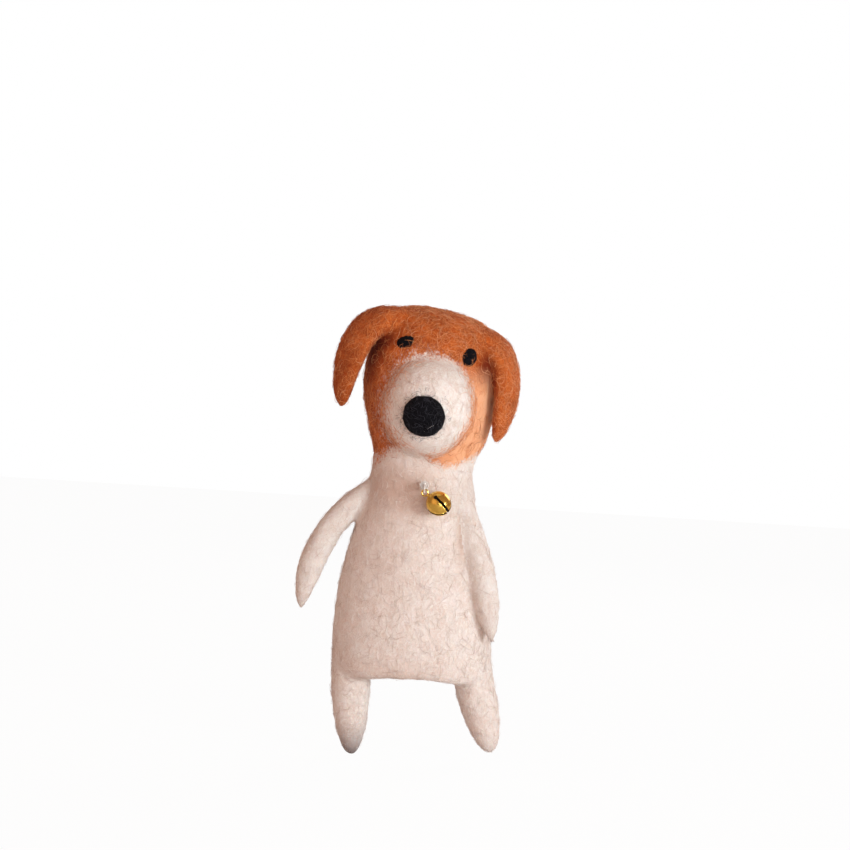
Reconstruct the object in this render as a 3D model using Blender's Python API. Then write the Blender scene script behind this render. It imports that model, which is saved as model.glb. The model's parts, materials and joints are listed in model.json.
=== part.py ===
"""Felted wool dog finger puppet with a small jingle bell sewn to its chest.

Metres, +Z up, the face towards -Y. The origin is the centre of the finger pocket's
mouth, in the plane of the hem. Left and right are the puppet's own, so its left is +X.
Head pieces are laid out in a head frame: its origin is the neck pivot, its Z runs up
through the crown, and HEAD_LEAN turns that frame into place. Bell pieces are laid out
in a bell frame: its origin is on the thread, and the bell hangs along its -Z.
"""

import math

import bmesh
import bpy
from mathutils import Matrix, Vector

# Torso: a thick felt tube, wide at the hem and narrow at the neck, with a finger pocket.
BODY_HEIGHT = 0.0554
HEM_WIDTH = 0.0410
HEM_DEPTH = 0.0270
NECK_WIDTH = 0.0258
NECK_DEPTH = 0.0230
NECK_SHIFT = -0.0008
POCKET_WIDTH = 0.0220
POCKET_DEPTH = 0.0180
POCKET_ROOF = 0.0034
POCKET_HEIGHT = BODY_HEIGHT - POCKET_ROOF
POCKET_TAPER = 0.0018
TORSO_FLARE = 1.5

# Neck: the head's cup turns on a dome about the neck pivot.
NECK_PIVOT_DROP = 0.0054
NECK_CUP_WALL = 0.0006
NECK_CUP_DEPTH_RATIO = 0.96
HEAD_LEAN = math.radians(9.5)

# Head, in the head frame.
HEAD_WIDTH = 0.0338
HEAD_DEPTH = 0.0292
HEAD_TOP = 0.0425
HEAD_WIDEST = 0.0215
HEAD_BOTTOM = 0.0045
HEAD_SHIFT = -0.0031
CROWN_SQUARENESS = 2.6
COAT_THICKNESS = 0.0014
COAT_LOW = 0.0090

MUZZLE_WIDTH = 0.0222
MUZZLE_HEIGHT = 0.0262
MUZZLE_CENTRE = 0.0186
MUZZLE_REACH = 0.0096
NOSE_WIDTH = 0.0110
NOSE_HEIGHT = 0.0104
NOSE_THICKNESS = 0.0052
NOSE_DROP = 0.0031
EYE_WIDTH = 0.0035
EYE_HEIGHT = 0.0028
EYE_THICKNESS = 0.0018
EYE_SPACING = 0.0164
EYE_LEVEL = 0.0327

EAR_WIDTH = 0.0104
EAR_ROOT_WIDTH = 0.0076
EAR_THICKNESS = 0.0038
EAR_DROP = 0.0237
EAR_STAND = 0.0058
EAR_ROOT_LEVEL = 0.0375
EAR_ROOT_FORWARD = 0.0030
EAR_ROOT_OUT = 0.0013
EAR_TWIST = math.radians(40.0)
EAR_LIFT = math.radians(70.0)
EAR_GROOVE_STEPS = 4
# The ear's route from its root: shares of its stand and its drop, and its way forward.
EAR_ROUTE = ((0.0, 0.0, 0.0), (1.10, 0.0, 0.0006), (1.30, 0.50, 0.0012), (0.95, 1.0, 0.0016))

# Limbs: solid felt, round where they meet the torso.
ARM_WIDTH = 0.0076
SHOULDER_HEIGHT = BODY_HEIGHT - 0.0104
SHOULDER_OUT = 0.0020
ARM_BEND = 0.4
# Each arm: the way its shoulder faces, the way its hand faces, the drop from the shoulder
# to the hand, the hand's distance from the torso, and how far it bows out.
ARMS = {
    "arm_right": (math.radians(174), math.radians(172), 0.0282, 0.0090, 0.0035),
    "arm_left": (math.radians(36), math.radians(33), 0.0338, 0.0030, 0.0016),
}
LEG_WIDTH = 0.0098
HIP_WIDTH = 0.0088
HIP_SPACING = 0.0309
HIP_SHIFT = 0.0006
HIP_DROP = 0.0020
HIP_FORWARD = 0.0015
# Each leg: its side, how far it leans out, and its length below the hip.
LEGS = {
    "leg_right": (-1, 0.0, 0.0180),
    "leg_left": (1, math.radians(11.5), 0.0158),
}

# Jingle bell: a brass ball slit into four petals, with a wire eye and a pellet inside.
BELL_DIAMETER = 0.0060
BELL_WALL = 0.00035
BELL_SLIT = 0.0005
SLIT_EYE_DIAMETER = 0.0010
SLIT_START = 0.0004
EYE_RING_RADIUS = 0.00078
EYE_WIRE = 0.00036
EYE_DROP = 0.00025
BELL_DROP = BELL_DIAMETER / 2 + 0.00135
STEM_DIAMETER = 0.0007
RIVET_DIAMETER = 0.0016
PELLET_DIAMETER = 0.0022
BELL_DIP = math.radians(34.5)
BELL_HEIGHT = BODY_HEIGHT - 0.0080
BELL_SIDE = 0.0008
BELL_CLEARANCE = 0.0007

# Thread: knotted inside the pocket, out through the chest, round the wire eye and back.
THREAD_DIAMETER = 0.0004
THREAD_RISE = 0.0016
THREAD_SPREAD = 0.0006
KNOT_DIAMETER = 0.0019
WRAP_STANDOFF = 0.0010
WRAP_WIRE = 0.00044

GAP = 0.0003
FINE_GAP = 0.00015
FINISHES = {
    "white_felt": (0.80, 0.66, 0.58, 0.95, 0.0),
    "ginger_felt": (0.46, 0.12, 0.03, 0.95, 0.0),
    "black_felt": (0.004, 0.004, 0.006, 0.9, 0.0),
    "brass": (0.83, 0.56, 0.10, 0.25, 1.0),
    "steel": (0.55, 0.55, 0.56, 0.3, 1.0),
    "cotton": (0.88, 0.84, 0.80, 0.85, 0.0),
}
UP = Vector((0, 0, 1))
ACROSS = Vector((1, 0, 0))


# ---------------------------------------------------------------- tools


def clear_scene():
    for obj in list(bpy.data.objects):
        bpy.data.objects.remove(obj)


def material(name):
    found = bpy.data.materials.get(name)
    if found:
        return found
    red, green, blue, rough, metal = FINISHES[name]
    made = bpy.data.materials.new(name)
    made.use_nodes = True
    shader = made.node_tree.nodes["Principled BSDF"]
    shader.inputs["Base Color"].default_value = (red, green, blue, 1.0)
    shader.inputs["Roughness"].default_value = rough
    shader.inputs["Metallic"].default_value = metal
    return made


def add_object(name, bm, origin, finish=None):
    """An object from a bmesh that holds world places, with its origin at a point."""
    bmesh.ops.recalc_face_normals(bm, faces=bm.faces)
    bmesh.ops.translate(bm, vec=-origin, verts=bm.verts)
    mesh = bpy.data.meshes.new(name)
    bm.to_mesh(mesh)
    bm.free()
    mesh.shade_smooth()
    mesh.set_sharp_from_angle(angle=math.radians(40))
    obj = bpy.data.objects.new(name, mesh)
    obj.location = origin
    bpy.context.scene.collection.objects.link(obj)
    if finish:
        mesh.materials.append(material(finish))
    return obj


def add_cutter(name, bm, origin):
    obj = add_object(name, bm, origin)
    obj.hide_render = True
    obj.display_type = "WIRE"
    return obj


def boolean(obj, cutters, operation="DIFFERENCE"):
    for cutter in cutters:
        modifier = obj.modifiers.new(cutter.name, "BOOLEAN")
        modifier.operation = operation
        modifier.solver = "EXACT"
        modifier.object = cutter


def ring(centre, side, along, half_side, half_other):
    """The matrix that turns a unit circle into an oval across the direction along."""
    along = along.normalized()
    side = (side - along * side.dot(along)).normalized()
    other = along.cross(side)
    size = max(half_side, half_other)
    turned = Matrix((side * half_side, other * half_other, along * size)).transposed()
    return Matrix.Translation(centre) @ turned.to_4x4()


def extrude_through(bm, edges, rings):
    """Pulls a loop of edges from ring to ring and returns the last loop."""
    for before, after in zip(rings, rings[1:]):
        made = bmesh.ops.extrude_edge_only(bm, edges=edges)["geom"]
        verts = [g for g in made if isinstance(g, bmesh.types.BMVert)]
        edges = [g for g in made if isinstance(g, bmesh.types.BMEdge)]
        bmesh.ops.transform(bm, matrix=after @ before.inverted(), verts=verts)
    return edges


def loft(rings, segments):
    """A closed solid through the rings, with flat ends."""
    bm = bmesh.new()
    bmesh.ops.create_circle(bm, radius=1.0, segments=segments, matrix=rings[0])
    first = list(bm.edges)
    last = extrude_through(bm, first, rings)
    bmesh.ops.edgeloop_fill(bm, edges=first)
    bmesh.ops.edgeloop_fill(bm, edges=last)
    return bm


def wire_ring(centre, side, across, radius, wire, segments, sides):
    """A closed ring of round wire about the direction across."""
    other = across.cross(side)
    rings = []
    for i in range(segments + 1):
        a = 2 * math.pi * i / segments
        out = side * math.cos(a) + other * math.sin(a)
        along = other * math.cos(a) - side * math.sin(a)
        rings.append(ring(centre + out * radius, across, along, wire / 2, wire / 2))
    bm = bmesh.new()
    bmesh.ops.create_circle(bm, radius=1.0, segments=sides, matrix=rings[0])
    extrude_through(bm, list(bm.edges), rings)
    bmesh.ops.remove_doubles(bm, verts=bm.verts, dist=wire / 50)
    return bm


def ball(centre, half_axes, turn=None, segments=16):
    """An oval ball, turned by a rotation matrix."""
    bm = bmesh.new()
    turn = turn or Matrix.Identity(4)
    place = Matrix.Translation(centre) @ turn @ Matrix.Diagonal(half_axes).to_4x4()
    bmesh.ops.create_uvsphere(
        bm, u_segments=segments, v_segments=segments // 2, radius=1.0, matrix=place
    )
    return bm


def rod(start, end, radius, segments=12):
    """A round rod from one point to another."""
    bm = bmesh.new()
    along = end - start
    place = Matrix.Translation((start + end) / 2) @ along.to_track_quat("Z", "Y").to_matrix().to_4x4()
    bmesh.ops.create_cone(
        bm, cap_ends=True, segments=segments, radius1=radius, radius2=radius,
        depth=along.length, matrix=place,
    )
    return bm


def on_curve(points, share):
    """A point on the Bezier curve with these control points."""
    while len(points) > 1:
        points = [a.lerp(b, share) for a, b in zip(points, points[1:])]
    return points[0]


def through_points(points, steps):
    """Places along a smooth curve through the points, with so many steps between two."""
    places = []
    ends = [points[0] * 2 - points[1]] + points + [points[-1] * 2 - points[-2]]
    for a, b, c, d in zip(ends, ends[1:], ends[2:], ends[3:]):
        for i in range(steps):
            t = i / steps
            near = b * 2 + (c - a) * t
            bend = (a * 2 - b * 5 + c * 4 - d) * t ** 2 + (b * 3 - a - c * 3 + d) * t ** 3
            places.append((near + bend) / 2)
    return places + [points[-1]]


def limb(route, side, root, thickness, taper, segments, swell=0.0, steps=10):
    """A felt limb along a Bezier route: a round root about its start, then a taper.

    root and thickness are (half side, half other) sizes at the start and at the middle,
    taper is how late the tip closes, and swell is a clearance added all round.
    """
    start = (on_curve(route, 0.01) - route[0]).normalized()
    rings = []
    for i in range(4):
        a = math.pi / 2 * (i + 0.4) / 4
        reach = (root[1] + swell) * math.cos(a)
        halves = [(h + swell) * math.sin(a) for h in root]
        rings.append(ring(route[0] - start * reach, side, start, *halves))
    for i in range(steps + 1):
        t = min(i / steps, 0.985)
        along = on_curve(route, min(t + 0.01, 1.0)) - on_curve(route, max(t - 0.01, 0.0))
        full = math.sin(math.pi / 2 * min(2 * t, 1.0))
        close = math.sqrt(1 - t ** taper)
        halves = [(a + (b - a) * full) * close + swell for a, b in zip(root, thickness)]
        rings.append(ring(on_curve(route, t), side, along, *halves))
    if swell:
        tip = route[-1] - on_curve(route, 0.9)
        rings.append(ring(route[-1] + tip.normalized() * swell, side, tip, swell, swell))
    return loft(rings, segments)


# ---------------------------------------------------------------- torso


def torso_half(z):
    """Half the torso's width and depth at a height."""
    share = (z / BODY_HEIGHT) ** TORSO_FLARE
    width = HEM_WIDTH + (NECK_WIDTH - HEM_WIDTH) * share
    depth = HEM_DEPTH + (NECK_DEPTH - HEM_DEPTH) * share
    return width / 2, depth / 2


def torso_axis(z):
    return Vector((NECK_SHIFT * z / BODY_HEIGHT, 0.0, z))


def torso_point(z, azimuth, out=0.0):
    """A point out from the torso; azimuth 0 is the left side and 90 degrees the chest."""
    width, depth = torso_half(z)
    normal = Vector((math.cos(azimuth) / width, -math.sin(azimuth) / depth, 0.0))
    surface = Vector((width * math.cos(azimuth), -depth * math.sin(azimuth), 0.0))
    return torso_axis(z) + surface + normal.normalized() * out


def neck_pivot():
    return torso_axis(BODY_HEIGHT) - UP * NECK_PIVOT_DROP


def neck_radius():
    """The dome's radius about the neck pivot: it meets the top edge of the torso."""
    return math.hypot(NECK_WIDTH / 2, NECK_PIVOT_DROP)


def torso_rings():
    rings = []
    for i in range(8):
        z = BODY_HEIGHT * i / 7
        rings.append(ring(torso_axis(z), ACROSS, UP, *torso_half(z)))
    radius = neck_radius()
    low = math.asin(NECK_PIVOT_DROP / radius)
    for i in range(1, 6):
        a = low + (math.pi / 2 - low) * i / 5.3
        place = neck_pivot() + UP * radius * math.sin(a)
        width = radius * math.cos(a)
        rings.append(ring(place, ACROSS, UP, width, width * NECK_DEPTH / NECK_WIDTH))
    return rings


def pocket_half(z):
    """Half the finger pocket's width and depth at a height, up to its rounded end."""
    straight = POCKET_HEIGHT - POCKET_DEPTH / 2
    narrowing = POCKET_TAPER * min(z, straight) / POCKET_HEIGHT
    over = max(z - straight, 0.0) / (POCKET_DEPTH / 2)
    share = math.sqrt(1 - over ** 2)
    return (POCKET_WIDTH / 2 - narrowing) * share, (POCKET_DEPTH / 2 - narrowing) * share


def pocket():
    """The finger pocket, which runs out past the hem."""
    straight = POCKET_HEIGHT - POCKET_DEPTH / 2
    heights = [straight * i / 2 for i in range(-1, 3)]
    heights += [straight + POCKET_DEPTH / 2 * math.sin(math.pi / 2 * i / 4.4) for i in range(1, 5)]
    return loft([ring(torso_axis(z), ACROSS, UP, *pocket_half(z)) for z in heights], 20)


# ---------------------------------------------------------------- limbs


def shoulder(azimuth):
    return torso_point(SHOULDER_HEIGHT, azimuth, SHOULDER_OUT)


def arm(azimuth, hand, bow, swell=0.0):
    """An arm from the shoulder at an azimuth, bowed out on its way to the hand."""
    root = shoulder(azimuth)
    half = ARM_WIDTH / 2
    middle = root.lerp(hand, ARM_BEND) + Vector((hand.x - root.x, 0, 0)).normalized() * bow
    return limb((root, middle, hand), Vector((0, 1, 0)), (half, half), (half, half), 3.2, 12, swell, 8)


def add_arms():
    """Both arms, and what clears them in the torso. The right one is held out sideways."""
    cutters = []
    for name, (azimuth, hand_azimuth, drop, out, bow) in ARMS.items():
        root = shoulder(azimuth)
        hand = torso_point(SHOULDER_HEIGHT - drop, hand_azimuth, out)
        add_object(name, arm(azimuth, hand, bow), root, "white_felt")
        cutters.append(add_cutter(name + "_groove", arm(azimuth, hand, bow, GAP), root))
        socket = ball(root, Vector((1, 1, 1)) * (ARM_WIDTH / 2 + GAP), segments=16)
        cutters.append(add_cutter(name + "_socket", socket, root))
    return cutters


def add_legs():
    """Both legs, hanging from sockets in the hem, and those sockets."""
    cutters = []
    for name, (side, tilt, length) in LEGS.items():
        hip = Vector((HIP_SHIFT + side * HIP_SPACING / 2, -HIP_FORWARD, -HIP_DROP))
        foot = hip + Vector((side * math.sin(tilt), 0.0, -math.cos(tilt))) * length
        hip_half = HIP_WIDTH / 2
        leg_half = LEG_WIDTH / 2
        route = (hip, hip.lerp(foot, 0.5), foot)
        shape = limb(route, ACROSS, (hip_half, hip_half), (leg_half, leg_half), 4.0, 14, steps=6)
        add_object(name, shape, hip, "white_felt")
        socket = ball(hip, Vector((1, 1, 1)) * (hip_half + GAP), segments=16)
        cutters.append(add_cutter(name + "_socket", socket, hip))
    return cutters


# ---------------------------------------------------------------- head


def head_frame():
    return Matrix.Translation(neck_pivot()) @ Matrix.Rotation(HEAD_LEAN, 4, "Y")


def head_half(v, inset=0.0):
    """Half the head's width and depth at a height in the head frame."""
    width = HEAD_WIDTH / 2 - inset
    depth = HEAD_DEPTH / 2 - inset
    if v >= HEAD_WIDEST:
        rise = min((v - HEAD_WIDEST) / (HEAD_TOP - inset - HEAD_WIDEST), 1.0)
        share = (1 - rise ** CROWN_SQUARENESS) ** (1 / CROWN_SQUARENESS)
        return width * share, depth * share
    low = neck_radius() + GAP + NECK_CUP_WALL
    low = math.sqrt(low ** 2 - HEAD_BOTTOM ** 2)
    share = ((HEAD_WIDEST - v) / (HEAD_WIDEST - HEAD_BOTTOM)) ** 2
    low_depth = low * NECK_CUP_DEPTH_RATIO
    return width + (low - inset - width) * share, depth + (low_depth - inset - depth) * share


def head_axis(v):
    """The head's middle at a height: it moves to the right side above the neck."""
    share = min(max((v - HEAD_BOTTOM) / (MUZZLE_CENTRE - HEAD_BOTTOM), 0.0), 1.0)
    return Vector((HEAD_SHIFT * math.sin(math.pi / 2 * share), 0.0, v))


def head_rings(low, inset):
    """Rings from a height to the crown, closer together towards the crown."""
    rings = []
    top = HEAD_TOP - inset
    for i in range(11):
        v = low + (top - low) * math.sin(math.pi / 2 * i / 10.6)
        rings.append(head_frame() @ ring(head_axis(v), ACROSS, UP, *head_half(v, inset)))
    return rings


def head_point(across, v, out=0.0):
    """A point in front of the face, across from the head's middle, in the head frame."""
    width, depth = head_half(v)
    forward = depth * math.sqrt(1 - (across / width) ** 2)
    return head_axis(v) + Vector((across, -forward - out, 0.0))


def core_rings(swell=0.0):
    """The packed wool core: full size at the throat, then stepped in under the coat."""
    rings = []
    for i in range(4):
        v = HEAD_BOTTOM + (COAT_LOW - HEAD_BOTTOM) * i / 3
        halves = [h + swell for h in head_half(v)]
        rings.append(head_frame() @ ring(head_axis(v), ACROSS, UP, *halves))
    return rings + head_rings(COAT_LOW, COAT_THICKNESS + GAP - swell)


def muzzle_ball(swell=0.0):
    """The muzzle mound's full oval, of which the part outside the core is kept."""
    half = Vector((MUZZLE_WIDTH / 2, 0.0, MUZZLE_HEIGHT / 2))
    face = head_point(0.0, MUZZLE_CENTRE)
    tip = face.y - MUZZLE_REACH
    back = face.y + HEAD_DEPTH / 4
    half.y = (back - tip) / 2
    centre = Vector((face.x, (back + tip) / 2, MUZZLE_CENTRE))
    return centre, half + Vector((1, 1, 1)) * swell


def nose_ball(swell=0.0):
    """The nose, half sunk in the muzzle below its tip and square to its surface."""
    centre, half = muzzle_ball()
    drop = -NOSE_DROP / half.z
    forward = math.sqrt(1 - drop ** 2)
    place = centre + Vector((0.0, -forward * half.y, drop * half.z))
    normal = Vector((0.0, -forward / half.y, drop / half.z)).normalized()
    turn = normal.to_track_quat("-Y", "Z").to_matrix().to_4x4()
    halves = Vector((NOSE_WIDTH, NOSE_THICKNESS, NOSE_HEIGHT)) / 2
    return place, halves + Vector((1, 1, 1)) * swell, turn


def eye_ball(side, swell=0.0):
    """An eye, half sunk in the coat and square to the brow."""
    across = side * EYE_SPACING / 2
    place = head_point(across, EYE_LEVEL)
    above = head_point(across, EYE_LEVEL + EYE_HEIGHT) - place
    beside = head_point(across + EYE_HEIGHT, EYE_LEVEL) - place
    normal = above.cross(beside).normalized()
    turn = normal.to_track_quat("-Y", "Z").to_matrix().to_4x4()
    halves = Vector((EYE_WIDTH, EYE_THICKNESS, EYE_HEIGHT)) / 2
    return place, halves + Vector((1, 1, 1)) * swell, turn


def place_ball(shape, segments):
    """A ball given in the head frame, put in place."""
    centre, halves, *turn = shape
    lean = Matrix.Rotation(HEAD_LEAN, 4, "Y")
    return ball(head_frame() @ centre, halves, lean @ turn[0] if turn else lean, segments)


def ear_root(side):
    """Where an ear turns, and its hinge line, in the head frame."""
    forward = EAR_ROOT_FORWARD
    width, depth = head_half(EAR_ROOT_LEVEL)
    across = width * math.sqrt(1 - (forward / depth) ** 2) + EAR_ROOT_OUT
    line = Vector((side * math.sin(EAR_TWIST), math.cos(EAR_TWIST), 0.0))
    return head_axis(EAR_ROOT_LEVEL) + Vector((side * across, -forward, 0.0)), line


def ear(side, swell=0.0):
    """A drooping ear: out from its root, over and down to a rounded point."""
    root, line = ear_root(side)
    route = [
        root + Vector((side * EAR_STAND * out, -forward, -EAR_DROP * down))
        for out, down, forward in EAR_ROUTE
    ]
    half = EAR_THICKNESS / 2
    halves = ((EAR_ROOT_WIDTH / 2, half), (EAR_WIDTH / 2, half))
    shape = limb(route, line, *halves, 3.6, 14, swell, 10)
    bmesh.ops.transform(shape, matrix=head_frame(), verts=shape.verts)
    return shape


def add_ears():
    """Both ears, and the hollows in the coat that clear them as they lift."""
    cutters = []
    for name, side in (("ear_right", -1), ("ear_left", 1)):
        root, line = ear_root(side)
        place = head_frame() @ root
        add_object(name, ear(side), place, "ginger_felt")
        half = EAR_THICKNESS / 2 + GAP
        turn = line.to_track_quat("Y", "Z").to_matrix().to_4x4()
        hollow = (root, Vector((half, EAR_ROOT_WIDTH / 2 + GAP, half)), turn)
        cutters.append(add_cutter(name + "_hollow", place_ball(hollow, 20), place))
        hinge = (head_frame().to_3x3() @ line) * -side
        for i in range(EAR_GROOVE_STEPS):
            turned = ear(side, GAP)
            lift = Matrix.Rotation(EAR_LIFT * i / (EAR_GROOVE_STEPS - 1), 4, hinge)
            bmesh.ops.transform(
                turned, matrix=Matrix.Translation(place) @ lift @ Matrix.Translation(-place),
                verts=turned.verts,
            )
            cutters.append(add_cutter(f"{name}_groove_{i}", turned, place))
    return cutters


def add_head():
    pivot = neck_pivot()
    cup = ball(pivot, Vector((1, 1, 1)) * (neck_radius() + GAP), segments=24)
    cup = add_cutter("neck_cup", cup, pivot)
    nose_seat = add_cutter("nose_seat", place_ball(nose_ball(GAP), 20), pivot)
    core_clear = add_cutter("core_clearance", loft(core_rings(GAP), 24), pivot)
    inside = add_cutter("coat_inside", loft(head_rings(HEAD_BOTTOM, COAT_THICKNESS), 24), pivot)
    muzzle_clear = add_cutter("muzzle_clearance", place_ball(muzzle_ball(GAP), 24), pivot)

    core = add_object("head_core", loft(core_rings(), 24), pivot, "white_felt")
    boolean(core, [cup])
    coat = add_object("head_coat", loft(head_rings(COAT_LOW + GAP, 0.0), 24), pivot, "ginger_felt")
    boolean(coat, [inside, muzzle_clear])
    muzzle = add_object("muzzle", place_ball(muzzle_ball(), 24), pivot, "white_felt")
    boolean(muzzle, [core_clear, nose_seat, cup])
    add_object("nose", place_ball(nose_ball(), 20), pivot, "black_felt")
    for name, side in (("eye_right", -1), ("eye_left", 1)):
        add_object(name, place_ball(eye_ball(side), 12), pivot, "black_felt")
        seat = add_cutter(name + "_seat", place_ball(eye_ball(side, GAP), 12), pivot)
        boolean(coat, [seat])
    boolean(coat, add_ears())


# ---------------------------------------------------------------- bell


def bell_hook():
    """Where the wire eye hangs on the thread: the bell clears the chest as it swings."""
    chest = torso_point(BELL_HEIGHT, math.pi / 2, BELL_DIAMETER / 2 + BELL_CLEARANCE)
    return chest + ACROSS * BELL_SIDE


def bell_frame():
    turn = Matrix.Rotation(BELL_DIP - math.pi / 2, 4, "Y")
    return Matrix.Translation(bell_hook()) @ turn


def add_bell():
    frame = bell_frame()
    centre = frame @ Vector((0, 0, -BELL_DROP))
    axis = (frame.to_3x3() @ UP).normalized()
    side = (frame.to_3x3() @ ACROSS).normalized()
    across = Vector((0, 1, 0))
    outer = BELL_DIAMETER / 2
    ones = Vector((1, 1, 1))

    turn = frame.to_3x3().to_4x4()
    shell = add_object("bell_shell", ball(centre, ones * outer, turn, 24), centre, "brass")
    cutters = [add_cutter("bell_inside", ball(centre, ones * (outer - BELL_WALL), turn, 20), centre)]
    hole = rod(centre + axis * outer * 0.5, centre + axis * outer * 1.2, STEM_DIAMETER / 2 + FINE_GAP)
    cutters.append(add_cutter("stem_hole", hole, centre))
    slit_top = centre - axis * SLIT_START
    for name, line in (("side", side), ("front", across)):
        slit = bmesh.new()
        tall = outer * 1.2
        bmesh.ops.create_cube(slit, size=1.0)
        size = Vector((outer * 2.4, BELL_SLIT, tall))
        turn_line = Matrix((line, axis.cross(line), axis)).transposed().to_4x4()
        place = Matrix.Translation(slit_top - axis * tall / 2) @ turn_line
        bmesh.ops.transform(slit, matrix=place @ Matrix.Diagonal(size).to_4x4(), verts=slit.verts)
        cutters.append(add_cutter("slit_" + name, slit, centre))
        eyes = rod(slit_top - line * outer * 1.2, slit_top + line * outer * 1.2, SLIT_EYE_DIAMETER / 2)
        cutters.append(add_cutter("slit_eyes_" + name, eyes, centre))
    boolean(shell, cutters)

    eye_centre = frame @ Vector((0, 0, -EYE_DROP))
    eye = wire_ring(eye_centre, side, across, EYE_RING_RADIUS, EYE_WIRE, 20, 8)
    eye = add_object("bell_eye", eye, bell_hook(), "brass")
    inside_top = outer - BELL_WALL - FINE_GAP
    foot = centre + axis * (inside_top - STEM_DIAMETER)
    stem = rod(eye_centre - axis * EYE_RING_RADIUS, foot, STEM_DIAMETER / 2, 12)
    rivet_radius = RIVET_DIAMETER / 2
    sink = math.sqrt(inside_top ** 2 - rivet_radius ** 2)
    rivet = rod(centre + axis * sink, centre + axis * (sink - STEM_DIAMETER), rivet_radius, 12)
    parts = [add_cutter("eye_stem", stem, centre), add_cutter("eye_rivet", rivet, centre)]
    boolean(eye, parts, "UNION")

    lie = outer - BELL_WALL - PELLET_DIAMETER / 2 - FINE_GAP
    pellet_place = centre - UP * lie
    pellet = ball(pellet_place, ones * PELLET_DIAMETER / 2, segments=16)
    add_object("bell_pellet", pellet, pellet_place, "steel")


def thread_route():
    """The thread's path from its knot in the pocket, round the bell's eye and back."""
    hook = bell_hook()
    chest = BELL_DIAMETER / 2 + BELL_CLEARANCE
    upper = THREAD_RISE + THREAD_SPREAD / 2
    lower = THREAD_RISE - THREAD_SPREAD / 2
    knot_top = BELL_HEIGHT + upper + KNOT_DIAMETER / 2 + GAP
    pocket_wall = chest + torso_half(BELL_HEIGHT)[1] - pocket_half(knot_top)[1]
    hug = EYE_WIRE
    back = [
        (pocket_wall + KNOT_DIAMETER, upper),
        (pocket_wall, upper),
        (chest, upper),
        (chest - WRAP_STANDOFF * 1.7, upper),
        (hug, upper * 0.93),
        (-hug * 2.4, THREAD_RISE * 0.60),
        (-hug * 1.9, hug * 0.30),
        (0.0, 0.0),
        (hug * 1.9, hug * 0.15),
        (chest - WRAP_STANDOFF * 1.7, lower * 0.93),
        (chest, lower),
        (pocket_wall - KNOT_DIAMETER / 2, lower),
    ]
    return [hook + Vector((0, y, z)) for y, z in back]


def add_thread():
    route = thread_route()
    places = through_points(route, 4)
    knot = KNOT_DIAMETER
    rings = []
    for before, place, after in zip(places[:1] + places, places, places[1:] + places[-1:]):
        radius = THREAD_DIAMETER / 2
        far = (place - places[0]).length - knot / 2
        if abs(far) < knot / 2 and place.y > route[1].y:
            radius = max(radius, math.sqrt((knot / 2) ** 2 - far ** 2))
        rings.append(ring(place, ACROSS, after - before, radius, radius))
    add_object("bell_thread", loft(rings, 8), bell_hook(), "cotton")

    middle = (route[2] + route[10]) / 2
    hole = THREAD_SPREAD / 2 + THREAD_DIAMETER / 2 + GAP
    bore = rod(middle - Vector((0, 0.002, 0)), Vector((middle.x, 0, middle.z)), hole, 14)
    wrap_place = middle - Vector((0, WRAP_STANDOFF, 0))
    radius = THREAD_SPREAD / 2 + THREAD_DIAMETER / 2 + FINE_GAP + WRAP_WIRE / 2
    wrap = wire_ring(wrap_place, ACROSS, Vector((0, 1, 0)), radius, WRAP_WIRE, 20, 8)
    add_object("thread_wrap", wrap, wrap_place, "cotton")
    return [add_cutter("thread_bore", bore, middle)]


# ---------------------------------------------------------------- puppet


def add_body():
    body = add_object("body_shell", loft(torso_rings(), 28), Vector((0, 0, 0)), "white_felt")
    cutters = [add_cutter("finger_pocket", pocket(), Vector((0, 0, 0)))]
    boolean(body, cutters + add_arms() + add_legs() + add_thread())


def build():
    clear_scene()
    add_body()
    add_head()
    add_bell()


build()
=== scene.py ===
"""The looks of a felted wool dog finger puppet: needle-felted skin, loose fibres and a bell.

Lengths are in metres. The head's own shapes are laid out in a head frame, which stands on
the neck's joint and leans the way the head does. The sides are the puppet's own, so its
left is +X, and its face looks towards -Y.
"""

import json
import math

import bmesh
import bpy
import numpy as np
from mathutils import Matrix, Vector, noise
from mathutils.bvhtree import BVHTree


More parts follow.
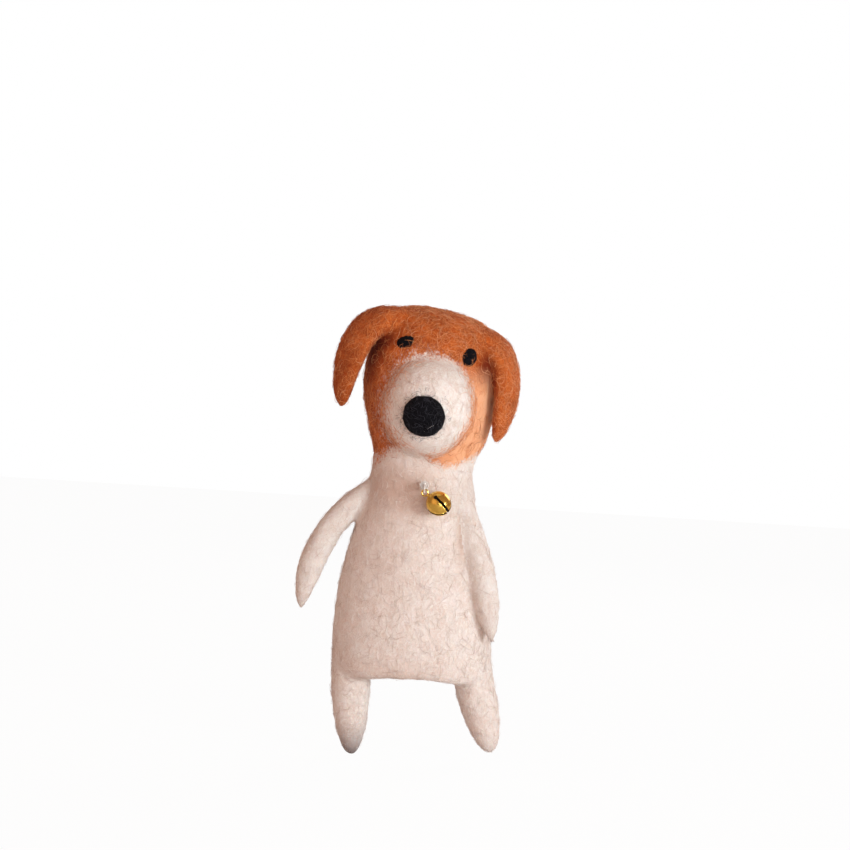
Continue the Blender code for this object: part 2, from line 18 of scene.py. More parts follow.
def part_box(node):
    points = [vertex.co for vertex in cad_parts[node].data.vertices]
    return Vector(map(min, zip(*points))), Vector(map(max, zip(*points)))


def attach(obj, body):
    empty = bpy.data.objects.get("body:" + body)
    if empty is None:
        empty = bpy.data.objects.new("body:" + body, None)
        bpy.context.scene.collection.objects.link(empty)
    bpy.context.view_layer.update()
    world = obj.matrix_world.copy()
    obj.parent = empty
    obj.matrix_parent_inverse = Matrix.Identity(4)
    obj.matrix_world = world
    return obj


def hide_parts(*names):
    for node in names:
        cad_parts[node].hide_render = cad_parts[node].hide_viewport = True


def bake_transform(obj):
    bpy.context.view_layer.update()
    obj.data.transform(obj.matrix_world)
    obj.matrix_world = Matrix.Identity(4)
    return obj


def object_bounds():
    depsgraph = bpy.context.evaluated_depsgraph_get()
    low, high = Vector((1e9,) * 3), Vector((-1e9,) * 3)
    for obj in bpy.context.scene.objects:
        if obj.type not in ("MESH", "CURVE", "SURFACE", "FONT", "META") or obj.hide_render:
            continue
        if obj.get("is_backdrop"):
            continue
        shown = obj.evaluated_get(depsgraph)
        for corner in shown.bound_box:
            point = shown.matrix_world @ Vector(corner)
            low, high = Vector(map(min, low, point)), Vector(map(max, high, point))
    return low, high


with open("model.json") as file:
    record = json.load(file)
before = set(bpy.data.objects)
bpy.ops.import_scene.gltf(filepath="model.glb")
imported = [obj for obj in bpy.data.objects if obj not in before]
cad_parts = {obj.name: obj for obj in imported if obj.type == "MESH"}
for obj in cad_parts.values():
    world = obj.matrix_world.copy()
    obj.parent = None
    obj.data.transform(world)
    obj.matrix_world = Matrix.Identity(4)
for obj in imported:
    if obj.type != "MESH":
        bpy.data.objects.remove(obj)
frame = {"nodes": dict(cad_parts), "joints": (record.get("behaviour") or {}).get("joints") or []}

CAD_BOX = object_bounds()
MM = 0.001
UP = Vector((0, 0, 1))
ACROSS = Vector((1, 0, 0))
FRONT = Vector((0, -1, 0))
LEFT_AND_RIGHT = (("left", 1), ("right", -1))
JOINTS = {joint["name"]: joint for joint in frame["joints"]}

# The skin is made as one felted form and then split where its limbs bend.
SKIN_VOXEL = 0.5 * MM
SKIN_SMOOTHING = 16
# The felt's lumps: (size, height in millimetres).
SKIN_LUMPS = ((4.5 * MM, 0.16), (1.3 * MM, 0.09))
FORM_REACH = 4.0 * MM
HEAD_LEAN = math.radians(9.5)
HEM_LIFT = 1.0 * MM
HEM_HEIGHT = 8 * MM
HEM_HALF_WIDTH = 11 * MM


def pivot(name):
    return Vector(JOINTS[name]["pos_m"])


def middle_and_size(node_name):
    low, high = (Vector(corner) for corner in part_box(node_name))
    return (low + high) / 2, high - low


# ---------------------------------------------------------------- shaping tools


def new_object(name, mesh, finish=None):
    obj = bpy.data.objects.new(name, mesh)
    bpy.context.scene.collection.objects.link(obj)
    if finish:
        mesh.materials.append(finish)
    return obj


def put_in_order(bm):
    """Sorts points and faces by place: the operators leave them in a different order each run."""
    for rank, vert in enumerate(sorted(bm.verts, key=lambda v: tuple(v.co))):
        vert.index = rank
    bm.verts.sort()
    rows = []
    for face in bm.faces:
        corners = [v.index for v in face.verts]
        first = corners.index(min(corners))
        rows.append((corners[first:] + corners[:first], face.smooth))
    for face in list(bm.faces):
        bm.faces.remove(face)
    bm.verts.ensure_lookup_table()
    for corners, smooth in sorted(rows):
        bm.faces.new([bm.verts[i] for i in corners]).smooth = smooth


def mesh_of(bm, name="form"):
    put_in_order(bm)
    mesh = bpy.data.meshes.new(name)
    bm.to_mesh(mesh)
    bm.free()
    return mesh


def opened(mesh):
    bm = bmesh.new()
    bm.from_mesh(mesh)
    return bm


def drop(obj):
    bpy.data.objects.remove(obj)


def finished_mesh(obj):
    graph = bpy.context.evaluated_depsgraph_get()
    return bpy.data.meshes.new_from_object(obj.evaluated_get(graph))


def settle(obj):
    """Applies an object's modifiers to its mesh."""
    mesh = finished_mesh(obj)
    obj.modifiers.clear()
    obj.data = mesh


def ring(centre, side, along, half_side, half_other):
    """The matrix that turns a unit circle into an oval across the direction along."""
    along = along.normalized()
    side = (side - along * side.dot(along)).normalized()
    other = along.cross(side)
    size = max(half_side, half_other)
    turned = Matrix((side * half_side, other * half_other, along * size)).transposed()
    return Matrix.Translation(centre) @ turned.to_4x4()


def loft(rings, segments):
    """A closed solid through oval rings: one circle pulled from ring to ring."""
    bm = bmesh.new()
    bmesh.ops.create_circle(bm, radius=1.0, segments=segments, matrix=rings[0])
    first = edges = list(bm.edges)
    for before, after in zip(rings, rings[1:]):
        made = bmesh.ops.extrude_edge_only(bm, edges=edges)["geom"]
        verts = [g for g in made if isinstance(g, bmesh.types.BMVert)]
        edges = [g for g in made if isinstance(g, bmesh.types.BMEdge)]
        bmesh.ops.transform(bm, matrix=after @ before.inverted(), verts=verts)
    bmesh.ops.edgeloop_fill(bm, edges=first)
    bmesh.ops.edgeloop_fill(bm, edges=edges)
    bmesh.ops.recalc_face_normals(bm, faces=bm.faces)
    return bm


def ball(centre, halves, turn=None, segments=32):
    """An oval ball, turned by a rotation matrix."""
    bm = bmesh.new()
    turn = turn or Matrix.Identity(4)
    place = Matrix.Translation(centre) @ turn @ Matrix.Diagonal(halves).to_4x4()
    bmesh.ops.create_uvsphere(
        bm, u_segments=segments, v_segments=segments // 2, radius=1.0, matrix=place
    )
    return bm


def between(stations, at):
    """A row of values at a height, on a smooth curve through rows that start with theirs."""
    rows = np.array(stations, float)
    k = int(np.clip(np.searchsorted(rows[:, 0], at) - 1, 0, len(rows) - 2))
    a, b, c, d = (rows[min(max(k + i, 0), len(rows) - 1)] for i in (-1, 0, 1, 2))
    span = c[0] - b[0]
    t = (at - b[0]) / span
    lead = (c - a) / max(c[0] - a[0], 1e-9) * span
    trail = (d - b) / max(d[0] - b[0], 1e-9) * span
    t2, t3 = t * t, t * t * t
    near = (2 * t3 - 3 * t2 + 1) * b + (t3 - 2 * t2 + t) * lead
    return (near + (3 * t2 - 2 * t3) * c + (t3 - t2) * trail)[1:]


def drawn(line, at):
    """Heights on a straight-sided line through (place, height) points."""
    places, heights = zip(*line)
    return np.interp(at, places, heights)


def on_curve(points, share):
    """A point on the Bezier curve with these control points."""
    while len(points) > 1:
        points = [a.lerp(b, share) for a, b in zip(points, points[1:])]
    return points[0]


def limb_form(route, side, halves, segments=28, steps=30, start=0.0, swell=0.0):
    """A tapered felt limb along a Bezier route.

    halves lists (share of the route, half side, half other) in millimetres.
    """
    rings = []
    for i in range(steps + 1):
        t = start + (0.998 - start) * math.sin(math.pi / 2 * i / steps)
        along = on_curve(route, min(t + 0.01, 1.0)) - on_curve(route, max(t - 0.01, 0.0))
        wide, thick = between(halves, t)
        wide, thick = max(wide, 0.15) * MM + swell, max(thick, 0.15) * MM + swell
        rings.append(ring(on_curve(route, t), side, along, wide, thick))
    return loft(rings, segments)


# ---------------------------------------------------------------- forms

# Height, side shift, half width and half depth, in millimetres.
TORSO = (
    (0.0, -0.3, 18.8, 12.2),
    (1.6, -0.4, 19.8, 13.2),
    (7.0, -0.6, 20.1, 13.6),
    (20.0, -1.0, 19.3, 13.4),
    (32.0, -1.0, 17.2, 12.9),
    (42.0, -0.8, 14.6, 12.2),
    (50.0, -0.8, 13.0, 11.4),
    (57.0, -0.9, 12.0, 10.8),
    (61.0, -0.9, 10.0, 9.0),
)
# The same for the head, in the head frame.
HEAD = (
    (2.0, -0.2, 11.9, 10.8),
    (8.0, -1.2, 13.7, 12.3),
    (12.0, -1.7, 15.1, 13.3),
    (16.0, -2.1, 16.2, 14.1),
    (21.0, -2.8, 17.0, 14.6),
    (27.0, -3.2, 17.1, 14.7),
    (33.0, -3.3, 16.3, 14.2),
    (37.5, -3.4, 14.6, 12.7),
    (40.5, -3.5, 12.2, 10.2),
    (42.0, -3.6, 9.3, 7.4),
    (42.8, -3.6, 4.5, 3.8),
)
MUZZLE_PLACE = Vector((-2.3, -10.0, 18.2)) * MM
MUZZLE_HALVES = Vector((11.6, 13.2, 12.6)) * MM
FINGER_POCKET = (
    (-6.0, -0.4, 11.0, 9.0),
    (10.0, -0.4, 10.7, 8.7),
    (34.0, -0.4, 9.8, 7.8),
    (45.0, -0.4, 8.6, 6.8),
    (50.5, -0.4, 5.0, 4.0),
)


def head_frame():
    return Matrix.Translation(pivot("head_nod")) @ Matrix.Rotation(HEAD_LEAN, 4, "Y")


def stacked(stations, steps, closing_in=False):
    """Level ovals through the stations, which may lie closer together towards the top."""
    low, high = stations[0][0], stations[-1][0]
    rings = []
    for i in range(steps + 1):
        rise = math.sin(math.pi / 2 * i / steps) if closing_in else i / steps
        height = low + (high - low) * rise
        shift, width, depth = between(stations, height)
        place = Vector((shift, 0, height)) * MM
        rings.append(ring(place, ACROSS, UP, width * MM, depth * MM))
    return rings


def head_form():
    return loft([head_frame() @ level for level in stacked(HEAD, 44, True)], 72)


def muzzle_form():
    lean = Matrix.Rotation(HEAD_LEAN, 4, "Y")
    return ball(head_frame() @ MUZZLE_PLACE, MUZZLE_HALVES, lean, 48)


EARS_MIDDLE = Vector((-3.3, 0, 0)) * MM
EAR_TWISTS = {1: math.radians(27), -1: math.radians(42)}
EAR_ROUTES = {
    1: ((7.5, -2.0, 36.8), (17.4, -4.6, 41.2), (21.4, -6.6, 26.0), (18.9, -7.2, 12.8)),
    -1: ((7.5, -3.2, 36.8), (19.4, -6.6, 42.0), (23.0, -7.6, 27.0), (20.0, -8.0, 12.9)),
}


EAR_HALVES = (
    (0.0, 5.2, 3.4), (0.25, 6.0, 3.1), (0.45, 5.9, 2.7), (0.65, 5.3, 2.5),
    (0.85, 3.7, 2.0), (0.95, 2.2, 1.3), (1.0, 0.3, 0.3),
)
ARM_HALVES = (
    (0.0, 3.0, 3.0), (0.2, 3.1, 3.4), (0.5, 3.4, 3.4), (0.75, 3.2, 3.2),
    (0.9, 2.1, 2.2), (0.97, 1.0, 1.1), (1.0, 0.3, 0.3),
)
ARM_ROUTES = {
    "left": ((7.4, -4.2, 48.4), (12.8, -7.4, 38.5), (17.0, -8.8, 26.0), (19.2, -8.8, 10.4)),
    "right": ((-8.2, -0.6, 49.0), (-21.4, -2.0, 43.5), (-28.4, -3.4, 30.0), (-29.0, -4.2, 15.6)),
}
ARM_FREE_FROM = {"left": 0.36, "right": 0.3}
ARM_CLEARANCE = 0.55 * MM
LEG_HALVES = (
    (0.0, 4.4, 4.6), (0.25, 5.0, 5.2), (0.5, 4.9, 4.9), (0.75, 4.1, 4.1),
    (0.9, 2.9, 2.9), (0.97, 1.6, 1.6), (1.0, 0.4, 0.4),
)
LEG_ROUTES = {
    "left": ((14.6, -1.2, 8.0), (14.8, -1.6, 0.0), (18.0, -2.0, -8.0), (21.0, -2.6, -17.6)),
    "right": ((-15.6, -1.0, 8.0), (-15.6, -1.4, 0.0), (-15.2, -1.8, -8.0), (-14.0, -2.2, -20.4)),
}


def route_of(points):
    return [Vector(p) * MM for p in points]


def ear_form(side):
    """A thick drooping ear that grows out of the crown's corner."""
    route = route_of((side * out, y, v) for out, y, v in EAR_ROUTES[side])
    twist = EAR_TWISTS[side]
    line = Vector((side * math.sin(twist), math.cos(twist), 0))
    return limb_form([head_frame() @ (EARS_MIDDLE + p) for p in route],
                     head_frame().to_3x3() @ line, EAR_HALVES)


def arm_form(side, start=0.0, swell=0.0):
    return limb_form(route_of(ARM_ROUTES[side]), ACROSS, ARM_HALVES, start=start, swell=swell)


def leg_form(side):
    return limb_form(route_of(LEG_ROUTES[side]), ACROSS, LEG_HALVES)


def cut_away(obj, bm):
    """Cuts a form out of an object."""
    cutter = new_object("cutter", mesh_of(bm))
    modifier = obj.modifiers.new("cut", "BOOLEAN")
    modifier.operation = "DIFFERENCE"
    modifier.solver = "EXACT"
    modifier.object = cutter
    settle(obj)
    drop(cutter)


def lift_hem(bm):
    """Arches the hem up a little between the legs, front and back."""
    for vert in bm.verts:
        fade = min(max(1 - vert.co.z / HEM_HEIGHT, 0.0), 1.0)
        across = min(abs(vert.co.x) / HEM_HALF_WIDTH, 1.0)
        if fade > 0 and across < 1:
            vert.co.z += HEM_LIFT * fade * (1 - across ** 2)


def build_forms():
    torso = new_object("torso", mesh_of(loft(stacked(TORSO, 44), 72)))
    cut_away(torso, loft(stacked(FINGER_POCKET, 16), 48))
    for side, free in ARM_FREE_FROM.items():
        cut_away(torso, arm_form(side, free, ARM_CLEARANCE))
    forms = {"torso": mesh_of(opened(torso.data)), "head": mesh_of(head_form()),
             "muzzle": mesh_of(muzzle_form())}
    for side, sign in LEFT_AND_RIGHT:
        forms["ear_" + side] = mesh_of(ear_form(sign))
        forms["arm_" + side] = mesh_of(arm_form(side))
        forms["leg_" + side] = mesh_of(leg_form(side))
    drop(torso)
    return forms


def felt_together(forms):
    """All the forms as one felted skin: a voxel union whose creases are rubbed smooth."""
    bm = bmesh.new()
    for mesh in forms.values():
        bm.from_mesh(mesh)
    skin = new_object("skin", mesh_of(bm))
    remesh = skin.modifiers.new("felt", "REMESH")
    remesh.mode = "VOXEL"
    remesh.voxel_size = SKIN_VOXEL
    settle(skin)
    bm = opened(skin.data)
    for _ in range(SKIN_SMOOTHING):
        bmesh.ops.smooth_vert(
            bm, verts=bm.verts, factor=0.5, use_axis_x=True, use_axis_y=True, use_axis_z=True
        )
    lift_hem(bm)
    bm.normal_update()
    for vert in bm.verts:
        lump = sum(noise.noise(vert.co / size) * height for size, height in SKIN_LUMPS)
        vert.co += vert.normal * lump * MM
    bm.to_mesh(skin.data)
    bm.free()
    return skin


def form_tree(form):
    bm = opened(form)
    tree = BVHTree.FromBMesh(bm)
    bm.free()
    return tree


def nearest_form(skin, forms):
    """For each face of the skin, the name of the form that it came from."""
    trees = {name: form_tree(mesh) for name, mesh in forms.items()}
    labels = []
    for face in skin.data.polygons:
        centre = face.center
        found = {n: t.find_nearest(centre, FORM_REACH)[3] for n, t in trees.items()}
        labels.append(min((d, n) for n, d in found.items() if d is not None)[1])
    return labels


# ---------------------------------------------------------------- splitting the skin


def tidy_labels(skin, labels):
    """Gives each stray patch of a label to its neighbour, so a piece is one island."""
    bm = opened(skin.data)
    bm.faces.ensure_lookup_table()
    patch_of = [-1] * len(labels)
    patches = []
    for face in bm.faces:
        if patch_of[face.index] >= 0:
            continue
        patch = [face.index]
        patch_of[face.index] = len(patches)
        for index in patch:
            for edge in bm.faces[index].edges:
                for other in edge.link_faces:
                    if patch_of[other.index] < 0 and labels[other.index] == labels[index]:
                        patch_of[other.index] = len(patches)
                        patch.append(other.index)
        patches.append(patch)
    largest = {}
    for number, patch in enumerate(patches):
        label = labels[patch[0]]
        if label not in largest or len(patch) > len(patches[largest[label]]):
            largest[label] = number
    for patch in sorted(patches, key=len):
        number = patch_of[patch[0]]
        if number == largest[labels[patch[0]]]:
            continue
        around = [
            labels[other.index] for index in patch for edge in bm.faces[index].edges
            for other in edge.link_faces if patch_of[other.index] != number
        ]
        if around:
            for index in patch:
                labels[index] = around[0]
    bm.free()
    return labels


def skin_piece(skin, labels, label):
    """One label's part of the skin as an open bmesh, which keeps the whole skin's normals."""
    bm = opened(skin.data)
    whole = bm.verts.layers.float_vector.new("skin_normal")
    for vert in bm.verts:
        vert[whole] = vert.normal
    gone = [f for f, found in zip(bm.faces, labels) if found != label]
    bmesh.ops.delete(bm, geom=gone, context="FACES")
    return bm


def sharp_rim(bm):
    rim = [e for e in bm.edges if e.is_boundary]
    for edge in rim:
        edge.smooth = False
    return rim


def close_cuts(bm):
    """Closes each cut with a fan and leaves its rim sharp."""
    caps = bmesh.ops.holes_fill(bm, edges=sharp_rim(bm), sides=0)["faces"]
    bmesh.ops.poke(bm, faces=caps)
    bmesh.ops.recalc_face_normals(bm, faces=bm.faces)


WALL = 0.8 * MM
CORE_DEPTH = 0.3 * MM
COVER_MARGIN = 0.9 * MM


def layer(bm, name):
    return bm.verts.layers.float.get(name) or bm.verts.layers.float.new(name)


def add_wall(bm):
    """Closes an open piece of skin with a wall that follows it inside, and no lid."""
    hidden = layer(bm, "hidden")
    rim = sharp_rim(bm)
    copied = bmesh.ops.duplicate(bm, geom=list(bm.faces))
    pairs = copied["vert_map"]
    inner = [f for f in copied["geom"] if isinstance(f, bmesh.types.BMFace)]
    for vert in {v for f in inner for v in f.verts}:
        vert.co -= vert.normal * WALL
        vert[hidden] = 1.0
    bmesh.ops.reverse_faces(bm, faces=inner)
    for edge in rim:
        face = edge.link_faces[0]
        loop = next(l for l in face.loops if l.edge == edge)
        first, second = loop.link_loop_next.vert, loop.vert
        bm.faces.new((first, second, pairs[second], pairs[first]))


def sink_below(bm, skin_tree):
    """Moves what would show through the skin to just below it."""
    for vert in bm.verts:
        place, normal, _, _ = skin_tree.find_nearest(vert.co)
        if (vert.co - place).dot(normal) > -CORE_DEPTH:
            vert.co = place - normal * CORE_DEPTH


def add_core(bm, core):
    """Joins a core below the skin to its piece. It carries no loose fibres."""
    hidden, inside = layer(bm, "hidden"), layer(bm, "core")
    known = len(bm.verts)
    bm.from_mesh(mesh_of(core))
    bm.verts.ensure_lookup_table()
    for vert in bm.verts[known:]:
        vert[hidden] = 1.0
        vert[inside] = 1.0


def limb_core(form, skin_tree):
    """A limb's whole form below the skin, which shows when the limb is lifted."""
    bm = opened(form)
    sink_below(bm, skin_tree)
    return bm


def underlay(form, covers, skin_tree):
    """The part of a form that lies under limbs, which shows when they are lifted."""
    bm = opened(form)
    covered = set()
    for vert in bm.verts:
        for tree in covers:
            place, normal, _, gap = tree.find_nearest(vert.co)
            if (vert.co - place).dot(normal) < 0 or gap < COVER_MARGIN:
                covered.add(vert)
    bare = [f for f in bm.faces if not covered & set(f.verts)]
    bmesh.ops.delete(bm, geom=bare, context="FACES")
    sink_below(bm, skin_tree)
    bm.normal_update()
    add_wall(bm)
    return bm


def skin_mesh(bm, name):
    """The mesh of a piece of the skin, shaded as part of the whole."""
    for face in bm.faces:
        face.smooth = True
    mesh = mesh_of(bm, name)
    normals = np.zeros(len(mesh.vertices) * 3)
    mesh.attributes["skin_normal"].data.foreach_get("vector", normals)
    normals = normals.reshape(-1, 3)
    own = np.zeros(len(mesh.vertices) * 3)
    mesh.vertices.foreach_get("normal", own)
    unset = np.linalg.norm(normals, axis=1) < 0.5
    normals[unset] = own.reshape(-1, 3)[unset]
    mesh.normals_split_custom_set_from_vertices(normals.tolist())
    mesh.attributes.remove(mesh.attributes["skin_normal"])
    return mesh


# ---------------------------------------------------------------- the ginger coat

# The white face: how far its middle lies off the head's, then the patch's middle and halves.
FACE_SHIFT = -2.3
FACE_PATCH = (-0.2, 18.5, 10.8, 12.5)
COAT_EDGE = (
    (-16.0, 0.8), (-11.5, 1.8), (-9.0, 3.4), (-6.5, 6.2), (-4.0, 8.2), (-1.0, 8.2),
    (1.5, 6.8), (3.5, 5.2), (7.0, 4.6), (10.5, 6.0), (14.0, 9.0), (18.0, 11.0),
)


def in_head(places):
    """The places in the head's own frame, in millimetres."""
    return (np.array(places) - np.array(pivot("head_nod"))) @ np.array(head_frame().to_3x3()) / MM


def coat_depth(points):
    """How far inside the ginger coat each point lies, in millimetres; white is negative."""
    local = in_head(points)
    side, front, up = local[:, 0] - FACE_SHIFT, -local[:, 1], local[:, 2]
    x, z, half_wide, half_tall = FACE_PATCH
    from_patch = (np.hypot((side - x) / half_wide, (up - z) / half_tall) - 1) * 11.5
    behind = np.clip((2.0 - front) * 2.0, -3.0, 30.0)
    from_patch = np.maximum(from_patch, behind)
    from_neck = up - drawn(COAT_EDGE, side)
    softness = np.interp(side, (-9.0, 3.0), (2.5, 1.0))
    return np.minimum(from_patch, from_neck) / softness


def coordinates(mesh):
    places = np.zeros(len(mesh.vertices) * 3)
    mesh.vertices.foreach_get("co", places)
    return places.reshape(-1, 3)


def set_values(mesh, name, values):
    attribute = mesh.attributes.get(name) or mesh.attributes.new(name, "FLOAT", "POINT")
    attribute.data.foreach_set("value", np.asarray(values, dtype=np.float32))


def values_of(mesh, name):
    values = np.zeros(len(mesh.vertices))
    if mesh.attributes.get(name):
        mesh.attributes[name].data.foreach_get("value", values)
    return values


def thin_and_lit(places):
    """How pale the coat is at each place: painted light on the left cheek, which faces the lamps,
    and partly the thin wool near the coat's edge.
    """
    local = in_head(places)
    low = np.interp(local[:, 2], (24.0, 31.0), (1.0, 0.0))
    on_left = np.interp(local[:, 0], (-2.0, 7.0), (0.0, 1.0))
    return low * on_left * np.clip(1 - (coat_depth(places) - 3.5) / 8.0, 0, 1)


def mark_coat(mesh):
    """Stores how ginger each point is, from 0 to 1, and where the ginger is painted pale: painted
    light, partly thin wool.
    """
    places = coordinates(mesh)
    set_values(mesh, "ginger", np.clip(0.5 + coat_depth(places) / 6.0, 0, 1))
    set_values(mesh, "pale", thin_and_lit(places))


# Painted warm shade on the body's front, under the chin, by the left arm, along the hem and down
# the shaded right side: (side, height, half width, half height, amount).
WARM_SHADES = (
    (-5.5, 47.5, 9.0, 7.0, 0.75),
    (10.4, 38.0, 1.8, 9.0, 0.75),
    (-3.0, 2.0, 12.0, 3.0, 0.35),
    (-9.0, 30.0, 6.0, 12.0, 0.22),
)


def mark_mellow_and_warm_shade(mesh, limb):
    """Stores how mellow the body's wool is at each point, and the painted warm shade on its front.
    """
    places = coordinates(mesh) / MM
    if limb:
        set_values(mesh, "mellow", np.ones(len(places)))
        return
    set_values(mesh, "mellow", np.interp(places[:, 2], (49.0, 60.0), (1.0, 0.0)))
    front = np.clip(-places[:, 1] / 4.0, 0, 1)
    amount = np.zeros(len(places))
    for side, height, half_wide, half_tall, most in WARM_SHADES:
        away = ((places[:, 0] - side) / half_wide) ** 2 + ((places[:, 2] - height) / half_tall) ** 2
        amount = np.maximum(amount, most * np.exp(-away))
    set_values(mesh, "warm_shade", amount * front)


# Painted shadow under the ears: how near a piece must hang, and the heights in the head frame where
# it fades out. The reach also thins the fibres there.
FOLD_REACH = 5.5 * MM
FOLD_SHADOW_TOP = ((31.0, 1.0), (37.0, 0.0))
# Painted shade down the right ear: (height in the head frame, crease shade).
EAR_PAINTED_SHADE = ((24.0, 0.21), (37.0, 0.0))


def deepen(mesh, crease_shade):
    """Stores each point's painted crease shade, where it is deeper than the one it has."""
    set_values(mesh, "crease_shade", np.maximum(values_of(mesh, "crease_shade"), crease_shade))


def mark_ear_painted_shade(mesh):
    """Paints shade on the right ear, deeper towards its tip."""
    deepen(mesh, drawn(EAR_PAINTED_SHADE, in_head(coordinates(mesh))[:, 2]))


def mark_fold_shadow(mesh, others, most):
    """Paints shadow into the crease shade where one wool piece hangs close over another, below the
    ears' roots.
    """
    places = coordinates(mesh)
    low = drawn(FOLD_SHADOW_TOP, in_head(places)[:, 2])
    crease_shade = np.zeros(len(places))
    for tree in others:
        for i, place in enumerate(places):
            gap = tree.find_nearest(Vector(place), FOLD_REACH)[3]
            if gap is not None:
                crease_shade[i] = max(crease_shade[i], most * low[i] * (1 - gap / FOLD_REACH))
    deepen(mesh, crease_shade)


# Painted shade in creases: how far the rays look, how many there are, and the shade painted on the
# hidden cores.
CREASE_REACH = 4.0 * MM
CREASE_RAYS = 6
CORE_CREASE_SHADE = 0.2


def mark_crease_shade(mesh, tree):
    """Stores the painted crease shade: how closed in each point is, from 0 in the open to 1 deep in
    a crease.
    """
    closed = []
    for vert in mesh.vertices:
        normal = vert.normal
        side = normal.orthogonal().normalized()
        tilted = (normal * 0.6 + side * 0.8).normalized()
        rays = [normal] + [
            Matrix.Rotation(2 * math.pi * i / CREASE_RAYS, 3, normal) @ tilted
            for i in range(CREASE_RAYS)
        ]
        open_ways = 0.0
        for ray in rays:
            hit = tree.ray_cast(vert.co + normal * 0.1 * MM, ray, CREASE_REACH)[3]
            open_ways += 1.0 if hit is None else hit / CREASE_REACH
        closed.append(1 - open_ways / len(rays))
    set_values(mesh, "crease_shade", np.where(values_of(mesh, "core") > 0.5, CORE_CREASE_SHADE, closed))


def mark_soil(mesh, height, amount):
    """Stores how grey a limb's tip is worn, from 0 above a height to its amount at the end."""
    tips = coordinates(mesh)[:, 2]
    low = tips.min()
    set_values(mesh, "soil", amount * np.clip((height - tips) / (height - low), 0, 1) ** 1.5)


def smooth_step(value, low, high):
    t = min(max((value - low) / (high - low), 0.0), 1.0)
    return t * t * (3 - 2 * t)


COAT_SINK = 0.5 * MM


def sink(bm, sign):
    """Lets the white wool sink under the coat (sign 1), or the coat's edge under it (-1)."""
    bm.verts.ensure_lookup_table()
    depths = coat_depth([v.co for v in bm.verts])
    for vert, depth in zip(bm.verts, depths):
        vert.co -= vert.normal * COAT_SINK * smooth_step(sign * depth, -0.3, 1.2)


def coat_mesh(skin, labels, under):
    bm = skin_piece(skin, labels, "head")
    bm.normal_update()
    depths = coat_depth([v.co for v in bm.verts])
    deep = {v for v, depth in zip(bm.verts, depths) if depth > -1.6}
    bmesh.ops.delete(bm, geom=[f for f in bm.faces if not deep & set(f.verts)], context="FACES")
    sink(bm, -1)
    add_wall(bm)
    add_core(bm, under)
    return skin_mesh(bm, "head_coat")


# ---------------------------------------------------------------- materials


def feed(tree, made, inputs):
    """Links the sockets among the inputs to a node, and sets its plain values."""
    for key, value in inputs.items():
        if isinstance(value, bpy.types.NodeSocket):
            tree.links.new(value, made.inputs[key])
        else:
            made.inputs[key].default_value = value


def node(tree, kind, inputs=None, **settings):
    made = tree.nodes.new("ShaderNode" + kind)
    for key, value in settings.items():
        setattr(made, key, value)
    feed(tree, made, inputs or {})
    return made


def object_place(tree):
    return node(tree, "TexCoord").outputs["Object"]


def kept(tree, name):
    """The value that a piece's mesh keeps under this name."""
    return node(tree, "Attribute", attribute_name=name).outputs["Fac"]


def noise_node(tree, place, scale, detail, **more):
    inputs = {"Vector": place, "Scale": scale, "Detail": detail, **more}
    return node(tree, "TexNoise", inputs).outputs[0]


def spread_out(tree, value, low, high, to_low=0.0, to_high=1.0, **settings):
    """The value, moved from one range to another."""
    return node(tree, "MapRange", {
        "Value": value, "From Min": low, "From Max": high, "To Min": to_low, "To Max": to_high,
    }, **settings).outputs[0]


def bumped(tree, height, strength, distance):
    inputs = {"Height": height, "Strength": strength, "Distance": distance}
    return node(tree, "Bump", inputs).outputs[0]


def math_node(tree, operation, a, b=0.0, clamp=False):
    return node(tree, "Math", {0: a, 1: b}, operation=operation, use_clamp=clamp).outputs[0]


def mixed(tree, share, a, b):
    return node(tree, "Mix", {"Factor": share, 6: a, 7: b}, data_type="RGBA").outputs[2]


def new_group(name, inputs, outputs):
    """An empty node group with these inputs and their values, and these outputs."""
    tree = bpy.data.node_groups.new(name, "ShaderNodeTree")
    for label, value in inputs.items():
        socket = tree.interface.new_socket(
            label, in_out="INPUT", socket_type="NodeSocketFloat"
        )
        socket.default_value = value
    for label in outputs:
        tree.interface.new_socket(label, in_out="OUTPUT", socket_type="NodeSocketFloat")
    return tree, tree.nodes.new("NodeGroupInput"), tree.nodes.new("NodeGroupOutput")


def felted_wool_group():
    """Matted wool: curled fibre lines, a soft clouding and the height of both."""
    tree, given, result = new_group(
        "felted_wool",
        {"Fibres per Metre": 700.0, "Line Width": 0.035},
        ("Fibres", "Cloud", "Height"),
    )
    place = object_place(tree)
    lines = []
    for turn, stretch, share in ((0.3, 0.55, 1.0), (1.4, 0.6, 1.35), (2.4, 0.5, 1.8)):
        turned = node(tree, "Mapping", {
            "Vector": place, "Rotation": (turn, turn * 0.7, turn * 1.9),
            "Scale": (1.0, 1.0, stretch),
        })
        size = math_node(tree, "MULTIPLY", given.outputs["Fibres per Metre"], share)
        field = noise_node(tree, turned.outputs[0], size, 2.0, Roughness=0.55, Distortion=0.6)
        off = math_node(tree, "ABSOLUTE", math_node(tree, "SUBTRACT", field, 0.5))
        near = math_node(tree, "DIVIDE", off, given.outputs["Line Width"])
        lines.append(math_node(tree, "SUBTRACT", 1.0, near, clamp=True))
    both = math_node(tree, "MAXIMUM", lines[0], lines[1])
    fibres = math_node(tree, "MAXIMUM", both, lines[2])
    cloud = noise_node(tree, place, 230.0, 3.0)
    grain = noise_node(tree, place, 2600.0, 2.0)
    height = math_node(tree, "MULTIPLY", grain, 0.5)
    height = math_node(tree, "ADD", height, math_node(tree, "MULTIPLY", fibres, 0.5))
    height = math_node(tree, "ADD", height, cloud)
    feed(tree, result, {"Fibres": fibres, "Cloud": cloud, "Height": height})
    return tree


def new_material(name):
    made = bpy.data.materials.new(name)
    made.use_nodes = True
    return made, made.node_tree, made.node_tree.nodes["Principled BSDF"]


def rgba(red, green, blue):
    return (red, green, blue, 1.0)


